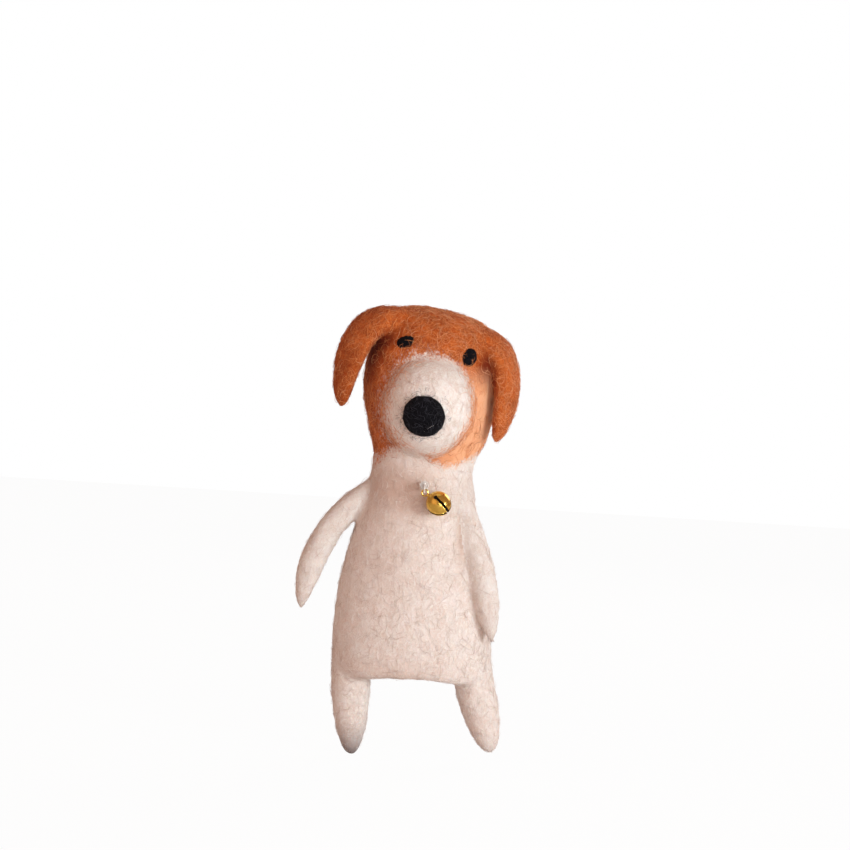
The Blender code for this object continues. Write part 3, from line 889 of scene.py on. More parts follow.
WOOL_WHITE = rgba(0.88, 0.805, 0.755)
WOOL_WHITE_DEEP = rgba(0.80, 0.67, 0.60)
WOOL_CREAM = rgba(0.975, 0.955, 0.92)
BODY_MELLOW = rgba(0.66, 0.53, 0.47)
# Painted warm shade.
BODY_WARM_SHADE = rgba(0.60, 0.40, 0.31)
# Painted crease shade: the colour that closed-in white wool darkens towards.
WOOL_CREASE_SHADE = rgba(0.60, 0.36, 0.26)
SOIL_GREY = rgba(0.20, 0.165, 0.165)
# The coat's pale tone where light is painted on the left cheek, partly thin wool.
GINGER_THIN_AND_LIT = rgba(0.95, 0.50, 0.28)
# Painted crease shade for ginger wool.
GINGER_CREASE_SHADE = rgba(0.15, 0.016, 0.003)
GINGER = rgba(0.52, 0.100, 0.014)
GINGER_DEEP = rgba(0.33, 0.050, 0.007)
GINGER_PALE = rgba(0.80, 0.27, 0.075)
BLACK_WOOL = rgba(0.0025, 0.0025, 0.004)
BLACK_WOOL_PALE = rgba(0.016, 0.016, 0.022)
# Each wool's look: its deep, plain, pale and painted crease-shade colours, how far the crease
# shade and a fibre take the colour, and the fibres per metre where they differ.
WHITE_LOOK = (WOOL_WHITE_DEEP, WOOL_WHITE, WOOL_CREAM, WOOL_CREASE_SHADE, 0.6, 0.8)
GINGER_LOOK = (GINGER_DEEP, GINGER, GINGER_PALE, GINGER_CREASE_SHADE, 0.95, 0.5)
BLACK_LOOK = (BLACK_WOOL, BLACK_WOOL, BLACK_WOOL_PALE, BLACK_WOOL, 0.9, 0.6, 1100.0)


def felt_look(tree, group, deep, plain, pale, crease_shade, depth, spread, fibres_per_metre=700.0):
    """The felt's colour for one wool: cloudy, paler along fibres and darker in creases, where shade
    is painted.
    """
    felt = node(tree, "Group", node_tree=group)
    felt.inputs["Fibres per Metre"].default_value = fibres_per_metre
    cloud = spread_out(tree, felt.outputs["Cloud"], 0.32, 0.68)
    base = mixed(tree, cloud, deep, plain)
    share = math_node(tree, "MULTIPLY", felt.outputs["Fibres"], spread)
    tone = mixed(tree, share, base, pale)
    # Painted shade: the colour darkens towards the crease colour where the wool is closed in.
    closed = spread_out(tree, kept(tree, "crease_shade"), 0.10, 0.50, 0.0, depth)
    return felt, mixed(tree, closed, tone, crease_shade)


def finish_felt(tree, shader, felt, colour, bump):
    feed(tree, shader, {
        "Base Color": colour, "Roughness": 0.92, "Specular IOR Level": 0.15,
        "Sheen Weight": 0.06, "Sheen Roughness": 0.45,
        "Normal": bumped(tree, felt.outputs["Height"], bump, 0.22 * MM),
    })


def coat_share(tree, felt):
    """How ginger the felt is at a point: the wools mingle in a ragged band at the edge."""
    wisps = noise_node(tree, object_place(tree), 900.0, 3.0, Distortion=1.2)
    mingled = kept(tree, "ginger")
    for value, middle, most in ((wisps, 0.5, 0.55), (felt.outputs["Fibres"], 0.35, 0.2)):
        off = math_node(tree, "MULTIPLY", math_node(tree, "SUBTRACT", value, middle), most)
        mingled = math_node(tree, "ADD", mingled, off)
    return spread_out(tree, mingled, 0.36, 0.66, interpolation_type="SMOOTHSTEP")


def wool_material(name, group, two_wools=True):
    """White wool, which turns ginger where the coat lies over it."""
    made, tree, shader = new_material(name)
    felt, white = felt_look(tree, group, *WHITE_LOOK)
    mellow = math_node(tree, "MULTIPLY", kept(tree, "mellow"), 0.28)
    white = mixed(tree, mellow, white, BODY_MELLOW)
    # Painted warm shade on the body's front.
    white = mixed(tree, kept(tree, "warm_shade"), white, BODY_WARM_SHADE)
    if two_wools:
        _, ginger = felt_look(tree, group, *GINGER_LOOK)
        # Painted light on the left cheek, partly the coat's thin wool there.
        thin_and_lit_share = math_node(tree, "MULTIPLY", kept(tree, "pale"), 0.9)
        ginger = mixed(tree, thin_and_lit_share, ginger, GINGER_THIN_AND_LIT)
        colour = mixed(tree, coat_share(tree, felt), white, ginger)
    else:
        colour = mixed(tree, kept(tree, "soil"), white, SOIL_GREY)
    finish_felt(tree, shader, felt, colour, 0.55)
    feed(tree, shader, {
        "Subsurface Weight": 0.12, "Subsurface Radius": (1.0, 0.55, 0.35),
        "Subsurface Scale": 1.5 * MM,
    })
    return made


def ginger_material(name, group):
    made, tree, shader = new_material(name)
    felt, colour = felt_look(tree, group, *GINGER_LOOK)
    finish_felt(tree, shader, felt, colour, 0.6)
    return made


def black_material(name, group):
    made, tree, shader = new_material(name)
    felt, colour = felt_look(tree, group, *BLACK_LOOK)
    finish_felt(tree, shader, felt, colour, 0.9)
    feed(tree, shader, {"Sheen Weight": 0.02, "Specular IOR Level": 0.08})
    return made


def fibre_material(name, dark, light):
    """Loose fibres: each has its own shade, kept in the piece's "shade" attribute."""
    made, tree, shader = new_material(name)
    feed(tree, shader, {
        "Base Color": mixed(tree, kept(tree, "shade"), rgba(*dark), rgba(*light)),
        "Roughness": 0.6, "Specular IOR Level": 0.25,
    })
    return made


def brass_material():
    """Lacquered brass with a faint grain and small dents."""
    made, tree, shader = new_material("polished_brass")
    place = object_place(tree)
    grain = noise_node(tree, place, 1500.0, 4.0)
    dents = noise_node(tree, place, 420.0, 1.0)
    feed(tree, shader, {
        "Base Color": mixed(tree, grain, rgba(0.70, 0.42, 0.06), rgba(0.92, 0.66, 0.16)),
        "Roughness": spread_out(tree, grain, 0.3, 0.7, 0.14, 0.30),
        "Metallic": 1.0,
        "Normal": bumped(tree, dents, 0.25, 0.2 * MM),
    })
    return made


def grained_metal(name, scale, detail, dark, light, metallic, roughness):
    """Unpolished metal, cloudy between a dark and a light tone."""
    made, tree, shader = new_material(name)
    grain = noise_node(tree, object_place(tree), scale, detail)
    feed(tree, shader, {
        "Base Color": mixed(tree, grain, rgba(*dark), rgba(*light)),
        "Metallic": metallic, "Roughness": roughness,
    })
    return made


def thread_material():
    """White sewing thread: twisted plies across its own length, with painted shade in the grooves
    between them.
    """
    made, tree, shader = new_material("sewing_thread")
    plies = node(tree, "TexWave", {
        "Vector": object_place(tree), "Scale": 900.0, "Distortion": 1.5, "Detail": 2.0,
    }, bands_direction="DIAGONAL").outputs[0]
    feed(tree, shader, {
        # Painted shade: darker where the bump sinks between the plies.
        "Base Color": mixed(tree, plies, rgba(0.62, 0.55, 0.50), rgba(0.93, 0.90, 0.86)),
        "Normal": bumped(tree, plies, 0.5, 0.08 * MM),
        "Roughness": 0.75,
    })
    return made


# ---------------------------------------------------------------- loose fibres

FIBRE_POINTS = 6
FIBRE_SIDES = 4
SHORTEST_STEP = 0.05 * MM


class Surface:
    """A mesh's surface, on which places are picked and followed."""

    def __init__(self, mesh):
        mesh.calc_loop_triangles()
        self.places = coordinates(mesh)
        corners = np.zeros(len(mesh.loop_triangles) * 3, dtype=int)
        mesh.loop_triangles.foreach_get("vertices", corners)
        self.corners = corners.reshape(-1, 3)
        a, b, c = (self.places[self.corners[:, k]] for k in range(3))
        areas = np.linalg.norm(np.cross(b - a, c - a), axis=1)
        self.middles = (a + b + c) / 3
        areas = areas * (values_of(mesh, "hidden")[self.corners].max(axis=1) < 0.5)
        self.chance = areas / areas.sum()
        self.tree = BVHTree.FromPolygons(self.places.tolist(), self.corners.tolist())

    def pick(self, count, rng, wanted=None):
        """Random places, evenly spread, or as wanted says from 0 to 1 at each triangle."""
        chance = self.chance if wanted is None else self.chance * wanted(self.middles)
        found = rng.choice(len(chance), count, p=chance / chance.sum())
        share = rng.random((2, count, 1))
        share = np.where(share.sum(0) > 1, 1 - share, share)
        a, b, c = (self.places[self.corners[found, k]] for k in range(3))
        return a + (b - a) * share[0] + (c - a) * share[1]


def fibre_path(surface, start, heading, length, curl, lift, rng):
    """A fibre that creeps along the surface, curling, and lifts off it on the way."""
    place, normal, _, _ = surface.tree.find_nearest(start)
    step = length / (FIBRE_POINTS - 1)
    points = []
    for i in range(FIBRE_POINTS):
        t = i / (FIBRE_POINTS - 1)
        rise = lift * math.sin(math.pi * (0.12 + 0.75 * t)) - 0.06 * MM
        points.append(place + normal * rise)
        heading = (heading - normal * heading.dot(normal)).normalized()
        heading = Matrix.Rotation(curl * (0.6 + 0.8 * rng.random()), 3, normal) @ heading
        place, normal, _, _ = surface.tree.find_nearest(place + heading * step)
    return points


def tubes_mesh(name, paths, radius, taper, roundness=0):
    """Capped tubes along paths, as one mesh. The taper says how thick each point is."""
    curve = bpy.data.curves.new(name, "CURVE")
    curve.dimensions = "3D"
    curve.bevel_depth = radius
    curve.bevel_resolution = roundness
    curve.use_fill_caps = True
    for path in paths:
        spline = curve.splines.new("POLY")
        spline.points.add(len(path) - 1)
        spline.points.foreach_set("co", [c for p in path for c in (*p, 1.0)])
        spline.points.foreach_set("radius", taper)
    obj = new_object(name + "_curve", curve)
    mesh = finished_mesh(obj)
    drop(obj)
    mesh.name = name
    mesh.materials.clear()
    mesh.shade_smooth()
    return mesh


def fibre_piece(name, paths, thickness, finish, shades):
    """All the fibres of a piece as one mesh of thin tapered tubes."""
    taper = [0.35 + 0.65 * math.sin(math.pi * i / (FIBRE_POINTS - 1)) for i in range(FIBRE_POINTS)]
    mesh = tubes_mesh(name, paths, thickness / 2, taper)
    each = len(mesh.vertices) // len(paths)
    set_values(mesh, "shade", np.repeat(shades, each))
    lay_out_cells(mesh, len(paths), each)
    return new_object(name, mesh, finish)


def lay_out_cells(mesh, count, each):
    """A UV map that gives each fibre a cell of its own."""
    cells = math.ceil(math.sqrt(count))
    corner = np.zeros(len(mesh.loops), dtype=int)
    mesh.loops.foreach_get("vertex_index", corner)
    fibre, within = corner // each, corner % each
    along = (within // FIBRE_SIDES) / max(each // FIBRE_SIDES - 1, 1)
    around = (within % FIBRE_SIDES) / (FIBRE_SIDES - 1)
    across = (fibre % cells + 0.2 + 0.6 * along) / cells
    upward = (fibre // cells + 0.2 + 0.6 * around) / cells
    layer = mesh.uv_layers.get("OFBake") or mesh.uv_layers.new(name="OFBake")
    layer.data.foreach_set("uv", np.stack([across, upward], axis=1).ravel())


def grow(name, mesh, count, finish, rng, length=(2.0, 5.0), curl=0.5, lift=0.22,
         thickness=0.08, wanted=None, heading=None):
    """Grows loose fibres over a mesh. Lengths, lift and thickness are in millimetres."""
    surface = Surface(mesh)
    paths = []
    for start in surface.pick(count, rng, wanted):
        toward = Vector(rng.normal(size=3)) if heading is None else heading(start, rng)
        reach = rng.uniform(*length) * MM
        bend = rng.normal(0.0, curl)
        rise = abs(rng.normal(0.0, 1.0)) * lift * MM
        path = fibre_path(surface, start, toward, reach, bend, rise, rng)
        if min((b - a).length for a, b in zip(path, path[1:])) > SHORTEST_STEP:
            paths.append(path)
    return fibre_piece(name, paths, thickness * MM, finish, rng.random(len(paths)))


# ---------------------------------------------------------------- nose, eyes and bell

NOSE = (Vector((-2.9, -23.5, 15.6)) * MM, Vector((5.1, 2.7, 5.0)) * MM)
NOSE_TIP = math.radians(-13)
EYES = {
    "left": (Vector((4.55, -12.0, 32.0)) * MM, Vector((1.95, 1.4, 2.6)) * MM, 14.0, 22.0),
    "right": (Vector((-11.3, -11.7, 32.3)) * MM, Vector((2.5, 1.4, 1.85)) * MM, -24.0, -26.0),
}
BELL_AXIS = Matrix.Rotation(math.radians(-55.5), 3, "Y") @ UP
BELL_WALL = 0.35 * MM
TUFT_STRANDS = 90
BELL_RADIUS = 3.0 * MM
BELL_STEM = 0.5 * MM
# The slits open a little towards the front, off the line of the bell's stem.
SLIT_AXIS = Vector((-0.72, 0.45, 0.53)).normalized()
SLIT_TURN = math.radians(15)
PETAL_STRETCH = 0.15
SLIT_RISE = 0.23 * MM
SLIT_WIDTH = 0.62 * MM
SLIT_EYE = 0.5 * MM


def felt_ball(name, centre, halves, turn, finish, lump, segments=48):
    """A small ball of black felt with an uneven surface. It is placed in the head frame."""
    lean = Matrix.Rotation(HEAD_LEAN, 4, "Y")
    bm = ball(head_frame() @ centre, halves, lean @ turn, segments)
    bm.normal_update()
    for vert in bm.verts:
        rise = noise.noise(vert.co / (1.6 * MM)) * lump
        rise += noise.noise(vert.co / (0.5 * MM)) * lump * 0.4
        vert.co += vert.normal * rise
    for face in bm.faces:
        face.smooth = True
    return new_object(name, mesh_of(bm, name), finish)


def bell_shell(finish, inside_finish):
    """A thin round bell, its lower half slit crosswise into four petals with rounded edges."""
    centre, radius = middle_and_size("bell_shell")[0], BELL_RADIUS
    turn = UP.rotation_difference(BELL_AXIS).to_matrix().to_4x4()
    shell = new_object("bell", mesh_of(ball(centre, Vector((1, 1, 1)) * radius, turn, 64)), finish)
    inside = Vector((1, 1, 1)) * (radius - BELL_WALL)
    cut_away(shell, ball(centre, inside, turn, 56))
    stem = [ring(centre + BELL_AXIS * radius * share, ACROSS, BELL_AXIS, BELL_STEM, BELL_STEM)
            for share in (0.7, 1.2)]
    cut_away(shell, loft(stem, 20))
    facing = (FRONT - SLIT_AXIS * FRONT.dot(SLIT_AXIS)).normalized()
    facing = Matrix.Rotation(SLIT_TURN, 3, SLIT_AXIS) @ facing
    # The second slit lies a little lower, so no two cut faces share a plane.
    for across, rise in ((facing, SLIT_RISE), (SLIT_AXIS.cross(facing), SLIT_RISE - 0.09 * MM)):
        cut_away(shell, slit_cutter(centre + SLIT_AXIS * rise, across))
    for vert in shell.data.vertices:
        below = min((vert.co - centre).dot(SLIT_AXIS), 0.0)
        vert.co += SLIT_AXIS * below * PETAL_STRETCH
    bevel = shell.modifiers.new("worn_edges", "BEVEL")
    bevel.width = 0.05 * MM
    bevel.segments = 2
    bevel.limit_method = "ANGLE"
    bevel.angle_limit = math.radians(50)
    settle(shell)
    shell.data.shade_smooth()
    # The inward faces get the near-black finish: painted shade inside the bell.
    shell.data.materials.append(inside_finish)
    for face in shell.data.polygons:
        outward = face.normal.dot(face.center - centre)
        face.material_index = 1 if outward < 0 else 0
    return shell


def slit_cutter(start, across):
    """A bell's slit with the round eyes at its ends, as one bar that reaches right across it."""
    side = SLIT_AXIS.cross(across)
    half, deep = SLIT_WIDTH / 2, BELL_RADIUS * 1.3
    meeting = math.asin(half / SLIT_EYE)
    turns = [meeting - math.pi / 2 + (math.tau - 2 * meeting) * step / 18 for step in range(19)]
    outline = [(SLIT_EYE * math.cos(turn), SLIT_EYE * math.sin(turn)) for turn in turns]
    outline = [(half, -deep)] + outline + [(-half, -deep)]
    bm = bmesh.new()
    ends = []
    for reach in (-1.2 * BELL_RADIUS, 1.2 * BELL_RADIUS):
        place = start + across * reach
        ends.append([bm.verts.new(place + side * x + SLIT_AXIS * y) for x, y in outline])
        bm.faces.new(ends[-1])
    for k in range(len(outline)):
        after = (k + 1) % len(outline)
        bm.faces.new((ends[0][k], ends[0][after], ends[1][after], ends[1][k]))
    bmesh.ops.recalc_face_normals(bm, faces=bm.faces)
    return bm


def tube(name, points, radius, finish, roundness):
    """A round thread through these points."""
    mesh = tubes_mesh(name, [points], radius, [1.0] * len(points), roundness)
    return new_object(name, mesh, finish)


# The bell thread's path back from the bell's eye: (distance back, height) in millimetres.
THREAD_PATH = (
    (13.4, 1.9), (11.5, 1.9), (3.7, 1.9), (2.0, 1.9), (0.36, 1.77), (-0.86, 0.96), (-0.68, 0.11),
    (0.0, 0.0), (0.68, 0.05), (2.0, 1.21), (3.7, 1.3), (10.6, 1.3),
)


def plied_thread(name, points, finish, plies=3, radius=0.12 * MM, lay=0.11 * MM, twist=1.1 * MM):
    """A sewing thread: plies wound round each other along a path."""
    made = []
    for ply in range(plies):
        travelled = 0.0
        wound = []
        for before, place, after in zip(points[:1] + points, points, points[1:] + points[-1:]):
            along = (after - before).normalized()
            travelled += (place - before).length
            angle = 2 * math.pi * (travelled / twist + ply / plies)
            other = along.cross(ACROSS)
            wound.append(place + (ACROSS * math.cos(angle) + other * math.sin(angle)) * lay)
        made.append(tube(name, wound, radius, finish, 1))
    return join(name, made)


def join(name, objects):
    bm = bmesh.new()
    for obj in objects:
        bm.from_mesh(obj.data)
    finish = objects[0].data.materials[0]
    for obj in objects:
        drop(obj)
    for face in bm.faces:
        face.smooth = True
    return new_object(name, mesh_of(bm, name), finish)


def smooth_path(points, steps):
    """Points on a smooth curve through the given points."""
    rows = [(float(i), *p) for i, p in enumerate(points)]
    count = (len(points) - 1) * steps
    return [Vector(between(rows, i / steps)) for i in range(count)] + [Vector(points[-1])]


# ---------------------------------------------------------------- putting it together

# Where each joint's wool starts and ends to bend. An arm's is a share of its route past where
# it comes free, and a leg's is a height.
NECK_BEND = (Vector((0, 0, 53.8)) * MM, Vector((0, 0, 61.5)) * MM)
ARM_BEND = (-0.04, 0.24)
LEG_BEND = (-0.5 * MM, -8.5 * MM)
EAR_BEND = ((14.0, -2, 37.5), (21.0, -4, 33.0))
# Height where each limb starts to look worn, and how grey its tip is.
SOILED = {
    "leg_right": (-9.0 * MM, 1.0),
    "leg_left": (-13.0 * MM, 0.25),
    "arm_left": (13.5 * MM, 0.35),
    "arm_right": (20.0 * MM, 0.25),
}


def bends():
    """For each skin piece and its fibres: the bodies it joins, and where it bends."""
    found = {
        "torso": ("root", "head", *NECK_BEND),
        "head": ("root", "head", *NECK_BEND),
        "muzzle": ("root", "head", *NECK_BEND),
    }
    for side, sign in LEFT_AND_RIGHT:
        route = route_of(ARM_ROUTES[side])
        found["arm_" + side] = ("root", "arm_" + side, *(
            on_curve(route, ARM_FREE_FROM[side] + share) for share in ARM_BEND
        ))
        hip = route_of(LEG_ROUTES[side])[1]
        found["leg_" + side] = ("root", "leg_" + side, *(
            Vector((hip.x, hip.y, height)) for height in LEG_BEND
        ))
        found["ear_" + side] = ("head", "ear_" + side, *(
            head_frame() @ (EARS_MIDDLE + Vector((sign * out, y, v)) * MM) for out, y, v in EAR_BEND
        ))
    return found


def fit(piece):
    """Bakes a piece's place into its mesh."""
    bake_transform(piece)


def seat(piece, body, replaced=None):
    """Puts a piece on one body."""
    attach(piece, body)
    if replaced:
        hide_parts(replaced)


# The loose fibres' finishes: their darkest and lightest tones.
FIBRE_TONES = {
    "white_fibre": ("white_fibres", (0.70, 0.53, 0.45), (1.0, 0.975, 0.94)),
    "body_fibre": ("body_fibres", (0.56, 0.41, 0.34), (1.0, 0.97, 0.94)),
    "cotton": ("loose_cotton", (0.80, 0.77, 0.74), (1.0, 1.0, 1.0)),
    "ginger_fibre": ("ginger_fibres", (0.30, 0.045, 0.007), (0.94, 0.40, 0.15)),
    "grey_fibre": ("grey_fibres", (0.08, 0.08, 0.085), (0.8, 0.77, 0.75)),
    "peach_fibre": ("peach_fibres", (0.66, 0.20, 0.055), (1.0, 0.58, 0.32)),
    "black_fibre": ("black_fibres", (0.004, 0.004, 0.006), (0.06, 0.06, 0.08)),
}
# The bell's inside: unpolished brass, made near black as painted shade inside the hollow shell.
BELL_INSIDE_SHADE = ("shaded_bell_inside", 1800.0, 4.0, (0.012, 0.008, 0.004), (0.07, 0.045, 0.015), 0.4, 0.7)
PELLET_STEEL = ("pellet_steel", 2500.0, 3.0, (0.07, 0.065, 0.06), (0.16, 0.155, 0.15), 1.0, 0.38)


def build_finishes():
    group = felted_wool_group()
    finishes = {
        "white": wool_material("white_wool", group, False),
        "face": wool_material("white_and_ginger_wool", group),
        "ginger": ginger_material("ginger_wool", group),
        "black": black_material("black_wool", group),
    }
    for key, tones in FIBRE_TONES.items():
        finishes[key] = fibre_material(*tones)
    finishes["brass"] = brass_material()
    finishes["shaded_bell_inside"] = grained_metal(*BELL_INSIDE_SHADE)
    finishes["steel"] = grained_metal(*PELLET_STEEL)
    finishes["thread"] = thread_material()
    return finishes


def build_puppet():
    rng = np.random.default_rng(7)
    finishes = build_finishes()
    forms = build_forms()
    skin = felt_together(forms)
    labels = tidy_labels(skin, nearest_form(skin, forms))
    skin_tree = Surface(skin.data).tree
    where = bends()
    replaced = {"torso": "body_shell", "head": "head_core"}
    pieces = {}

    def pad(label, name, mesh, finish, node_name):
        pieces[label] = new_object(name, mesh, finishes[finish])
        fit(pieces[label])
        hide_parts(node_name)

    for label in forms:
        bm = skin_piece(skin, labels, label)
        if label == "head":
            sink(bm, 1)
        if label.startswith(("arm", "ear")):
            bm.normal_update()
            add_wall(bm)
            add_core(bm, limb_core(forms[label], skin_tree))
        else:
            close_cuts(bm)
        if label == "torso":
            arms = [form_tree(forms["arm_" + side]) for side, _ in LEFT_AND_RIGHT]
            add_core(bm, underlay(forms["torso"], arms, skin_tree))
        mesh = skin_mesh(bm, label)
        # Painted shade in creases, and the painted warm shade on the body's front.
        mark_crease_shade(mesh, skin_tree)
        mark_mellow_and_warm_shade(mesh, label.startswith(("arm", "leg")))
        if label in SOILED:
            mark_soil(mesh, *SOILED[label])
        finish = "ginger" if label.startswith("ear") else "white"
        if label in ("head", "muzzle", "torso"):
            mark_coat(mesh)
            finish = "face"
        pad(label, label + "_wool", mesh, finish, replaced.get(label, label))
    ears = [form_tree(forms["ear_" + side]) for side, _ in LEFT_AND_RIGHT]
    mesh = coat_mesh(skin, labels, underlay(forms["head"], ears, skin_tree))
    mark_coat(mesh)
    # Painted shade in the coat's creases, and its painted warm shade.
    mark_crease_shade(mesh, skin_tree)
    mark_mellow_and_warm_shade(mesh, False)
    # Painted shadow in the folds between the ears and the head, and painted shade down the right
    # ear.
    ears = [Surface(pieces["ear_" + side].data).tree for side, _ in LEFT_AND_RIGHT]
    mark_fold_shadow(mesh, ears, 0.75)
    coat_tree = Surface(mesh).tree
    for side, most in (("left", 0.4), ("right", 0.5)):
        mark_fold_shadow(pieces["ear_" + side].data, [coat_tree], most)
    mark_ear_painted_shade(pieces["ear_right"].data)
    pad("coat", "coat_wool", mesh, "face", "head_coat")
    drop(skin)
    add_face(finishes, rng)
    add_bell(finishes, rng)
    add_fibres(pieces, finishes, rng)


def in_front(middles):
    """Wants only what lies on the front of a small piece."""
    deep = middles[:, 1]
    return (deep < deep.min() + 1.2 * MM).astype(float)


def round_the_nose(middles):
    """Wants a ring of the muzzle just round the nose."""
    centre, halves = NOSE
    local = (middles - np.array(head_frame() @ centre)) @ np.array(head_frame().to_3x3())
    away = np.hypot(local[:, 0] / halves.x, local[:, 2] / halves.z)
    return ((away > 0.85) & (away < 1.2) & (local[:, 1] < 6 * MM)).astype(float)


def add_face(finishes, rng):
    centre, halves = NOSE
    tip = Matrix.Rotation(NOSE_TIP, 4, "X")
    nose = felt_ball("nose_wool", centre, halves, tip, finishes["black"], 0.14 * MM)
    small = [(nose, "nose")]
    for side, (centre, halves, tilt, face) in EYES.items():
        turn = Matrix.Rotation(math.radians(face), 4, "Z")
        turn = turn @ Matrix.Rotation(math.radians(tilt), 4, "Y")
        eye = felt_ball("eye_wool_" + side, centre, halves, turn, finishes["black"], 0.18 * MM, 32)
        small.append((eye, "eye_" + side))
    for piece, node_name in small:
        seat(piece, "head", node_name)
    fringe = grow("nose_fringe", nose.data, 260, finishes["black_fibre"], rng,
                  length=(1.2, 3.0), curl=0.5, lift=0.2)
    seat(fringe, "head")
    strays = grow("nose_stray_fibres", nose.data, 12, finishes["grey_fibre"], rng,
                  length=(4.0, 6.5), curl=0.22, lift=0.05, thickness=0.05, wanted=in_front)
    seat(strays, "head")
    for side, count in (("left", 16), ("right", 7)):
        eye = bpy.data.objects["eye_wool_" + side]
        over = grow("eye_stray_fibres_" + side, eye.data, count, finishes["ginger_fibre"], rng,
                    length=(1.5, 3.0), curl=0.15, lift=0.1, wanted=in_front)
        seat(over, "head")


def add_bell(finishes, rng):
    shell = bell_shell(finishes["brass"], finishes["shaded_bell_inside"])
    seat(shell, "bell", "bell_shell")
    for name, finish in (("bell_eye", "brass"), ("bell_pellet", "steel")):
        shown = frame["nodes"][name]
        shown = bpy.data.objects[shown] if isinstance(shown, str) else shown
        shown.data.materials.clear()
        shown.data.materials.append(finishes[finish])
    hook = pivot("bell_swing")
    path = smooth_path([hook + Vector((0, y, z)) * MM for y, z in THREAD_PATH], 8)
    thread = plied_thread("bell_thread_plies", path, finishes["thread"])
    seat(thread, "root", "bell_thread")
    centre, size = middle_and_size("thread_wrap")
    turns = []
    for i in range(73):
        angle = 2 * math.pi * i / 24
        radius = size.x / 2 - 0.2 * MM
        turns.append(centre + Vector((
            math.cos(angle) * radius, (i / 72 - 0.5) * 0.7 * MM, math.sin(angle) * radius
        )))
    wrap = tube("thread_wrap_turns", turns, 0.17 * MM, finishes["thread"], 2)
    seat(wrap, "root", "thread_wrap")
    ends = []
    for _ in range(TUFT_STRANDS):
        start = centre + Vector((0.1, -0.8, -0.9)) * MM + Vector(rng.normal(0.0, 0.2, 3)) * MM
        reach = Vector((rng.normal(-0.5, 0.35), rng.normal(-0.6, 0.3), rng.normal(0.8, 0.5))) * MM
        bow = Vector(rng.normal(0.0, 0.35, 3)) * MM
        route = [start, start + reach * 0.5 + bow, start + reach * 1.2]
        ends.append([on_curve(route, i / (FIBRE_POINTS - 1)) for i in range(FIBRE_POINTS)])
    tuft = fibre_piece("thread_tuft", ends, 0.13 * MM, finishes["cotton"],
                       rng.random(TUFT_STRANDS))
    seat(tuft, "root")


def add_fibres(pieces, finishes, rng):
    def ginger_side(middles):
        return np.clip((coat_depth(middles) + 1.0) / 2.0, 0, 1)

    def above_the_tip(middles):
        return np.interp(middles[:, 2], (-19 * MM, -11 * MM), (0.1, 1.0))

    ears = [Surface(pieces["ear_" + side].data).tree for side, _ in LEFT_AND_RIGHT]

    def out_of_folds(middles):
        """Wants few fibres in the folds under the ears, where the wool is pressed flat."""
        open_wool = np.ones(len(middles))
        for i, middle in enumerate(middles):
            for ear in ears:
                gap = ear.find_nearest(Vector(middle), FOLD_REACH * 0.8)[3]
                if gap is not None:
                    open_wool[i] = 0.25
        low = in_head(middles)[:, 2] < 35.0
        return np.where(low, open_wool, 1.0)

    # Fewer ginger fibres where the cheek is painted pale and lit.
    def ginger_away_from_thin_and_lit(middles):
        return ginger_side(middles) * (1 - 0.5 * thin_and_lit(middles)) * out_of_folds(middles)

    def ginger_out_of_folds(middles):
        return ginger_side(middles) * out_of_folds(middles)

    def white_side(middles):
        return np.clip((1.0 - coat_depth(middles)) / 2.0, 0, 1)

    # Name, piece, count, wool and where it is wanted.
    plan = (
        ("coat_fibres_a", "coat", 3600, "ginger", ginger_away_from_thin_and_lit),
        ("coat_fibres_b", "coat", 2300, "peach", ginger_out_of_folds),
        ("chin_fibres", "head", 900, "white", white_side),
        ("chin_ginger_fibres", "head", 260, "ginger", white_side),
        ("muzzle_fibres", "muzzle", 1700, "white", white_side),
        ("muzzle_edge_fibres", "muzzle", 500, "peach", ginger_side),
        ("torso_fibres_a", "torso", 4200, "body", None),
        ("torso_fibres_b", "torso", 3000, "body", None),
        ("ear_fibres_left", "ear_left", 1300, "ginger", None),
        ("ear_fibres_right", "ear_right", 1500, "ginger", None),
        # The left ear, on the lit side, has far more pale fibres than the right: real pale fibres,
        # spread as painted light on the one and painted shade on the other.
        ("ear_pale_fibres_left", "ear_left", 900, "peach", None),
        ("ear_pale_fibres_right", "ear_right", 220, "peach", None),
        ("arm_fibres_left", "arm_left", 900, "body", None),
        ("arm_fibres_right", "arm_right", 900, "body", None),
        ("leg_fibres_left", "leg_left", 700, "body", None),
        ("leg_fibres_right", "leg_right", 700, "body", above_the_tip),
    )
    for name, base, count, wool, wanted in plan:
        white = wool in ("white", "body")
        made = grow(name, pieces[base].data, count, finishes[wool + "_fibre"], rng,
                    thickness=0.062 if white else 0.07, wanted=wanted)
        fit(made)
    rim = grow("nose_rim_fibres", pieces["muzzle"].data, 420, finishes["black_fibre"], rng,
               length=(0.8, 2.0), curl=0.3, lift=0.08, thickness=0.05, wanted=round_the_nose)
    fit(rim)


# ---------------------------------------------------------------- stage

CAMERA_BACK = 450 * MM
CAMERA_AIM = Vector((-0.7, -5.0, 63.8)) * MM
CAMERA_LENS = 76.2
CAMERA_ROLL = math.radians(3.54)
FLOOR_HEIGHT = -20.4 * MM
FLOOR_GLOW = 0.965
LIGHTS_AIM = Vector((0, 0, 36)) * MM
# Each lamp's place, size, watts and colour.
LIGHTS = {
    "key": (Vector((0.44, -0.46, 0.13)), 0.20, 2.3, (0.86, 0.965, 1.0)),
    "front": (Vector((0.16, -0.62, 0.10)), 0.25, 0.9, (0.96, 0.985, 1.0)),
    "fill": (Vector((-0.40, -0.45, 0.16)), 0.5, 0.42, (1.0, 0.64, 0.50)),
    "rim": (Vector((0.30, 0.40, 0.35)), 0.3, 0.9, (1.0, 0.97, 0.95)),
}


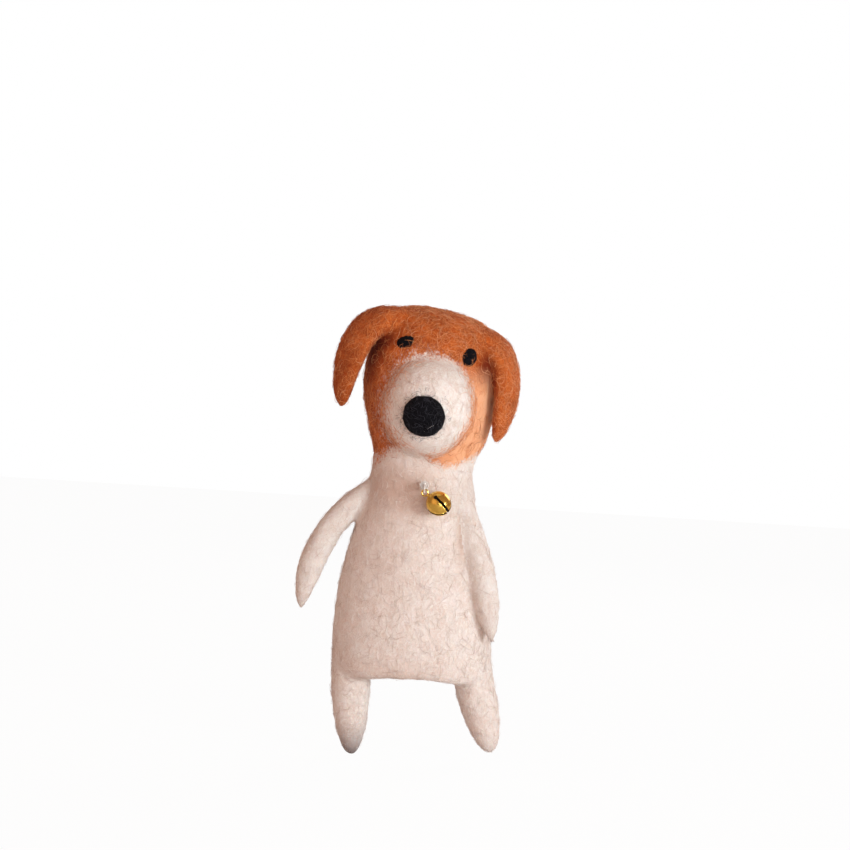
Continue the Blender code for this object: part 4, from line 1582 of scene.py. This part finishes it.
def area_light(name, place, size, watts, colour):
    data = bpy.data.lights.new(name, "AREA")
    data.energy = watts
    data.size = size
    data.color = colour
    light = new_object(name, data)
    light.location = place
    light.rotation_euler = (LIGHTS_AIM - place).to_track_quat("-Z", "Y").to_euler()


def build_stage():
    scene = bpy.context.scene
    scene.view_settings.view_transform = "Standard"
    data = bpy.data.cameras.new("camera")
    data.lens = CAMERA_LENS
    data.sensor_width = 36
    data.clip_start = 0.01
    camera = new_object("camera", data)
    place = Matrix.Translation(CAMERA_AIM + FRONT * CAMERA_BACK)
    level = place @ Matrix.Rotation(math.pi / 2, 4, "X")
    camera.matrix_world = level @ Matrix.Rotation(CAMERA_ROLL, 4, "Z")
    scene.camera = camera

    world = bpy.data.worlds.new("studio")
    world.use_nodes = True
    scene.world = world
    tree = world.node_tree
    backdrop = tree.nodes["Background"]
    feed(tree, backdrop, {"Color": rgba(1.0, 0.64, 0.50), "Strength": 0.38})
    seen = node(tree, "Background", {"Color": rgba(1, 1, 1), "Strength": 1.0})
    ray = node(tree, "LightPath").outputs["Is Camera Ray"]
    both = node(tree, "MixShader", {0: ray, 1: backdrop.outputs[0], 2: seen.outputs[0]})
    feed(tree, tree.nodes["World Output"], {"Surface": both.outputs[0]})

    for name, lamp in LIGHTS.items():
        area_light(name, *lamp)

    bm = bmesh.new()
    bmesh.ops.create_grid(bm, x_segments=2, y_segments=2, size=1.5,
                          matrix=Matrix.Translation((0, 0, FLOOR_HEIGHT)))
    finish, tree, shader = new_material("floor")
    feed(tree, shader, {"Base Color": rgba(0.9, 0.9, 0.9), "Roughness": 0.9})
    glow = node(tree, "Emission", {"Color": rgba(1, 1, 1), "Strength": 1.0})
    ray = node(tree, "LightPath").outputs["Is Camera Ray"]
    share = math_node(tree, "MULTIPLY", ray, FLOOR_GLOW)
    both = node(tree, "MixShader", {0: share, 1: shader.outputs[0], 2: glow.outputs[0]})
    feed(tree, tree.nodes["Material Output"], {"Surface": both.outputs[0]})
    floor = new_object("floor", mesh_of(bm, "floor"), finish)
    floor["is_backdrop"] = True


build_puppet()
build_stage()


def plain(box):
    return [[float(c) for c in corner] for corner in box]


{"cad": plain(CAD_BOX), "visual": plain(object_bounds())}
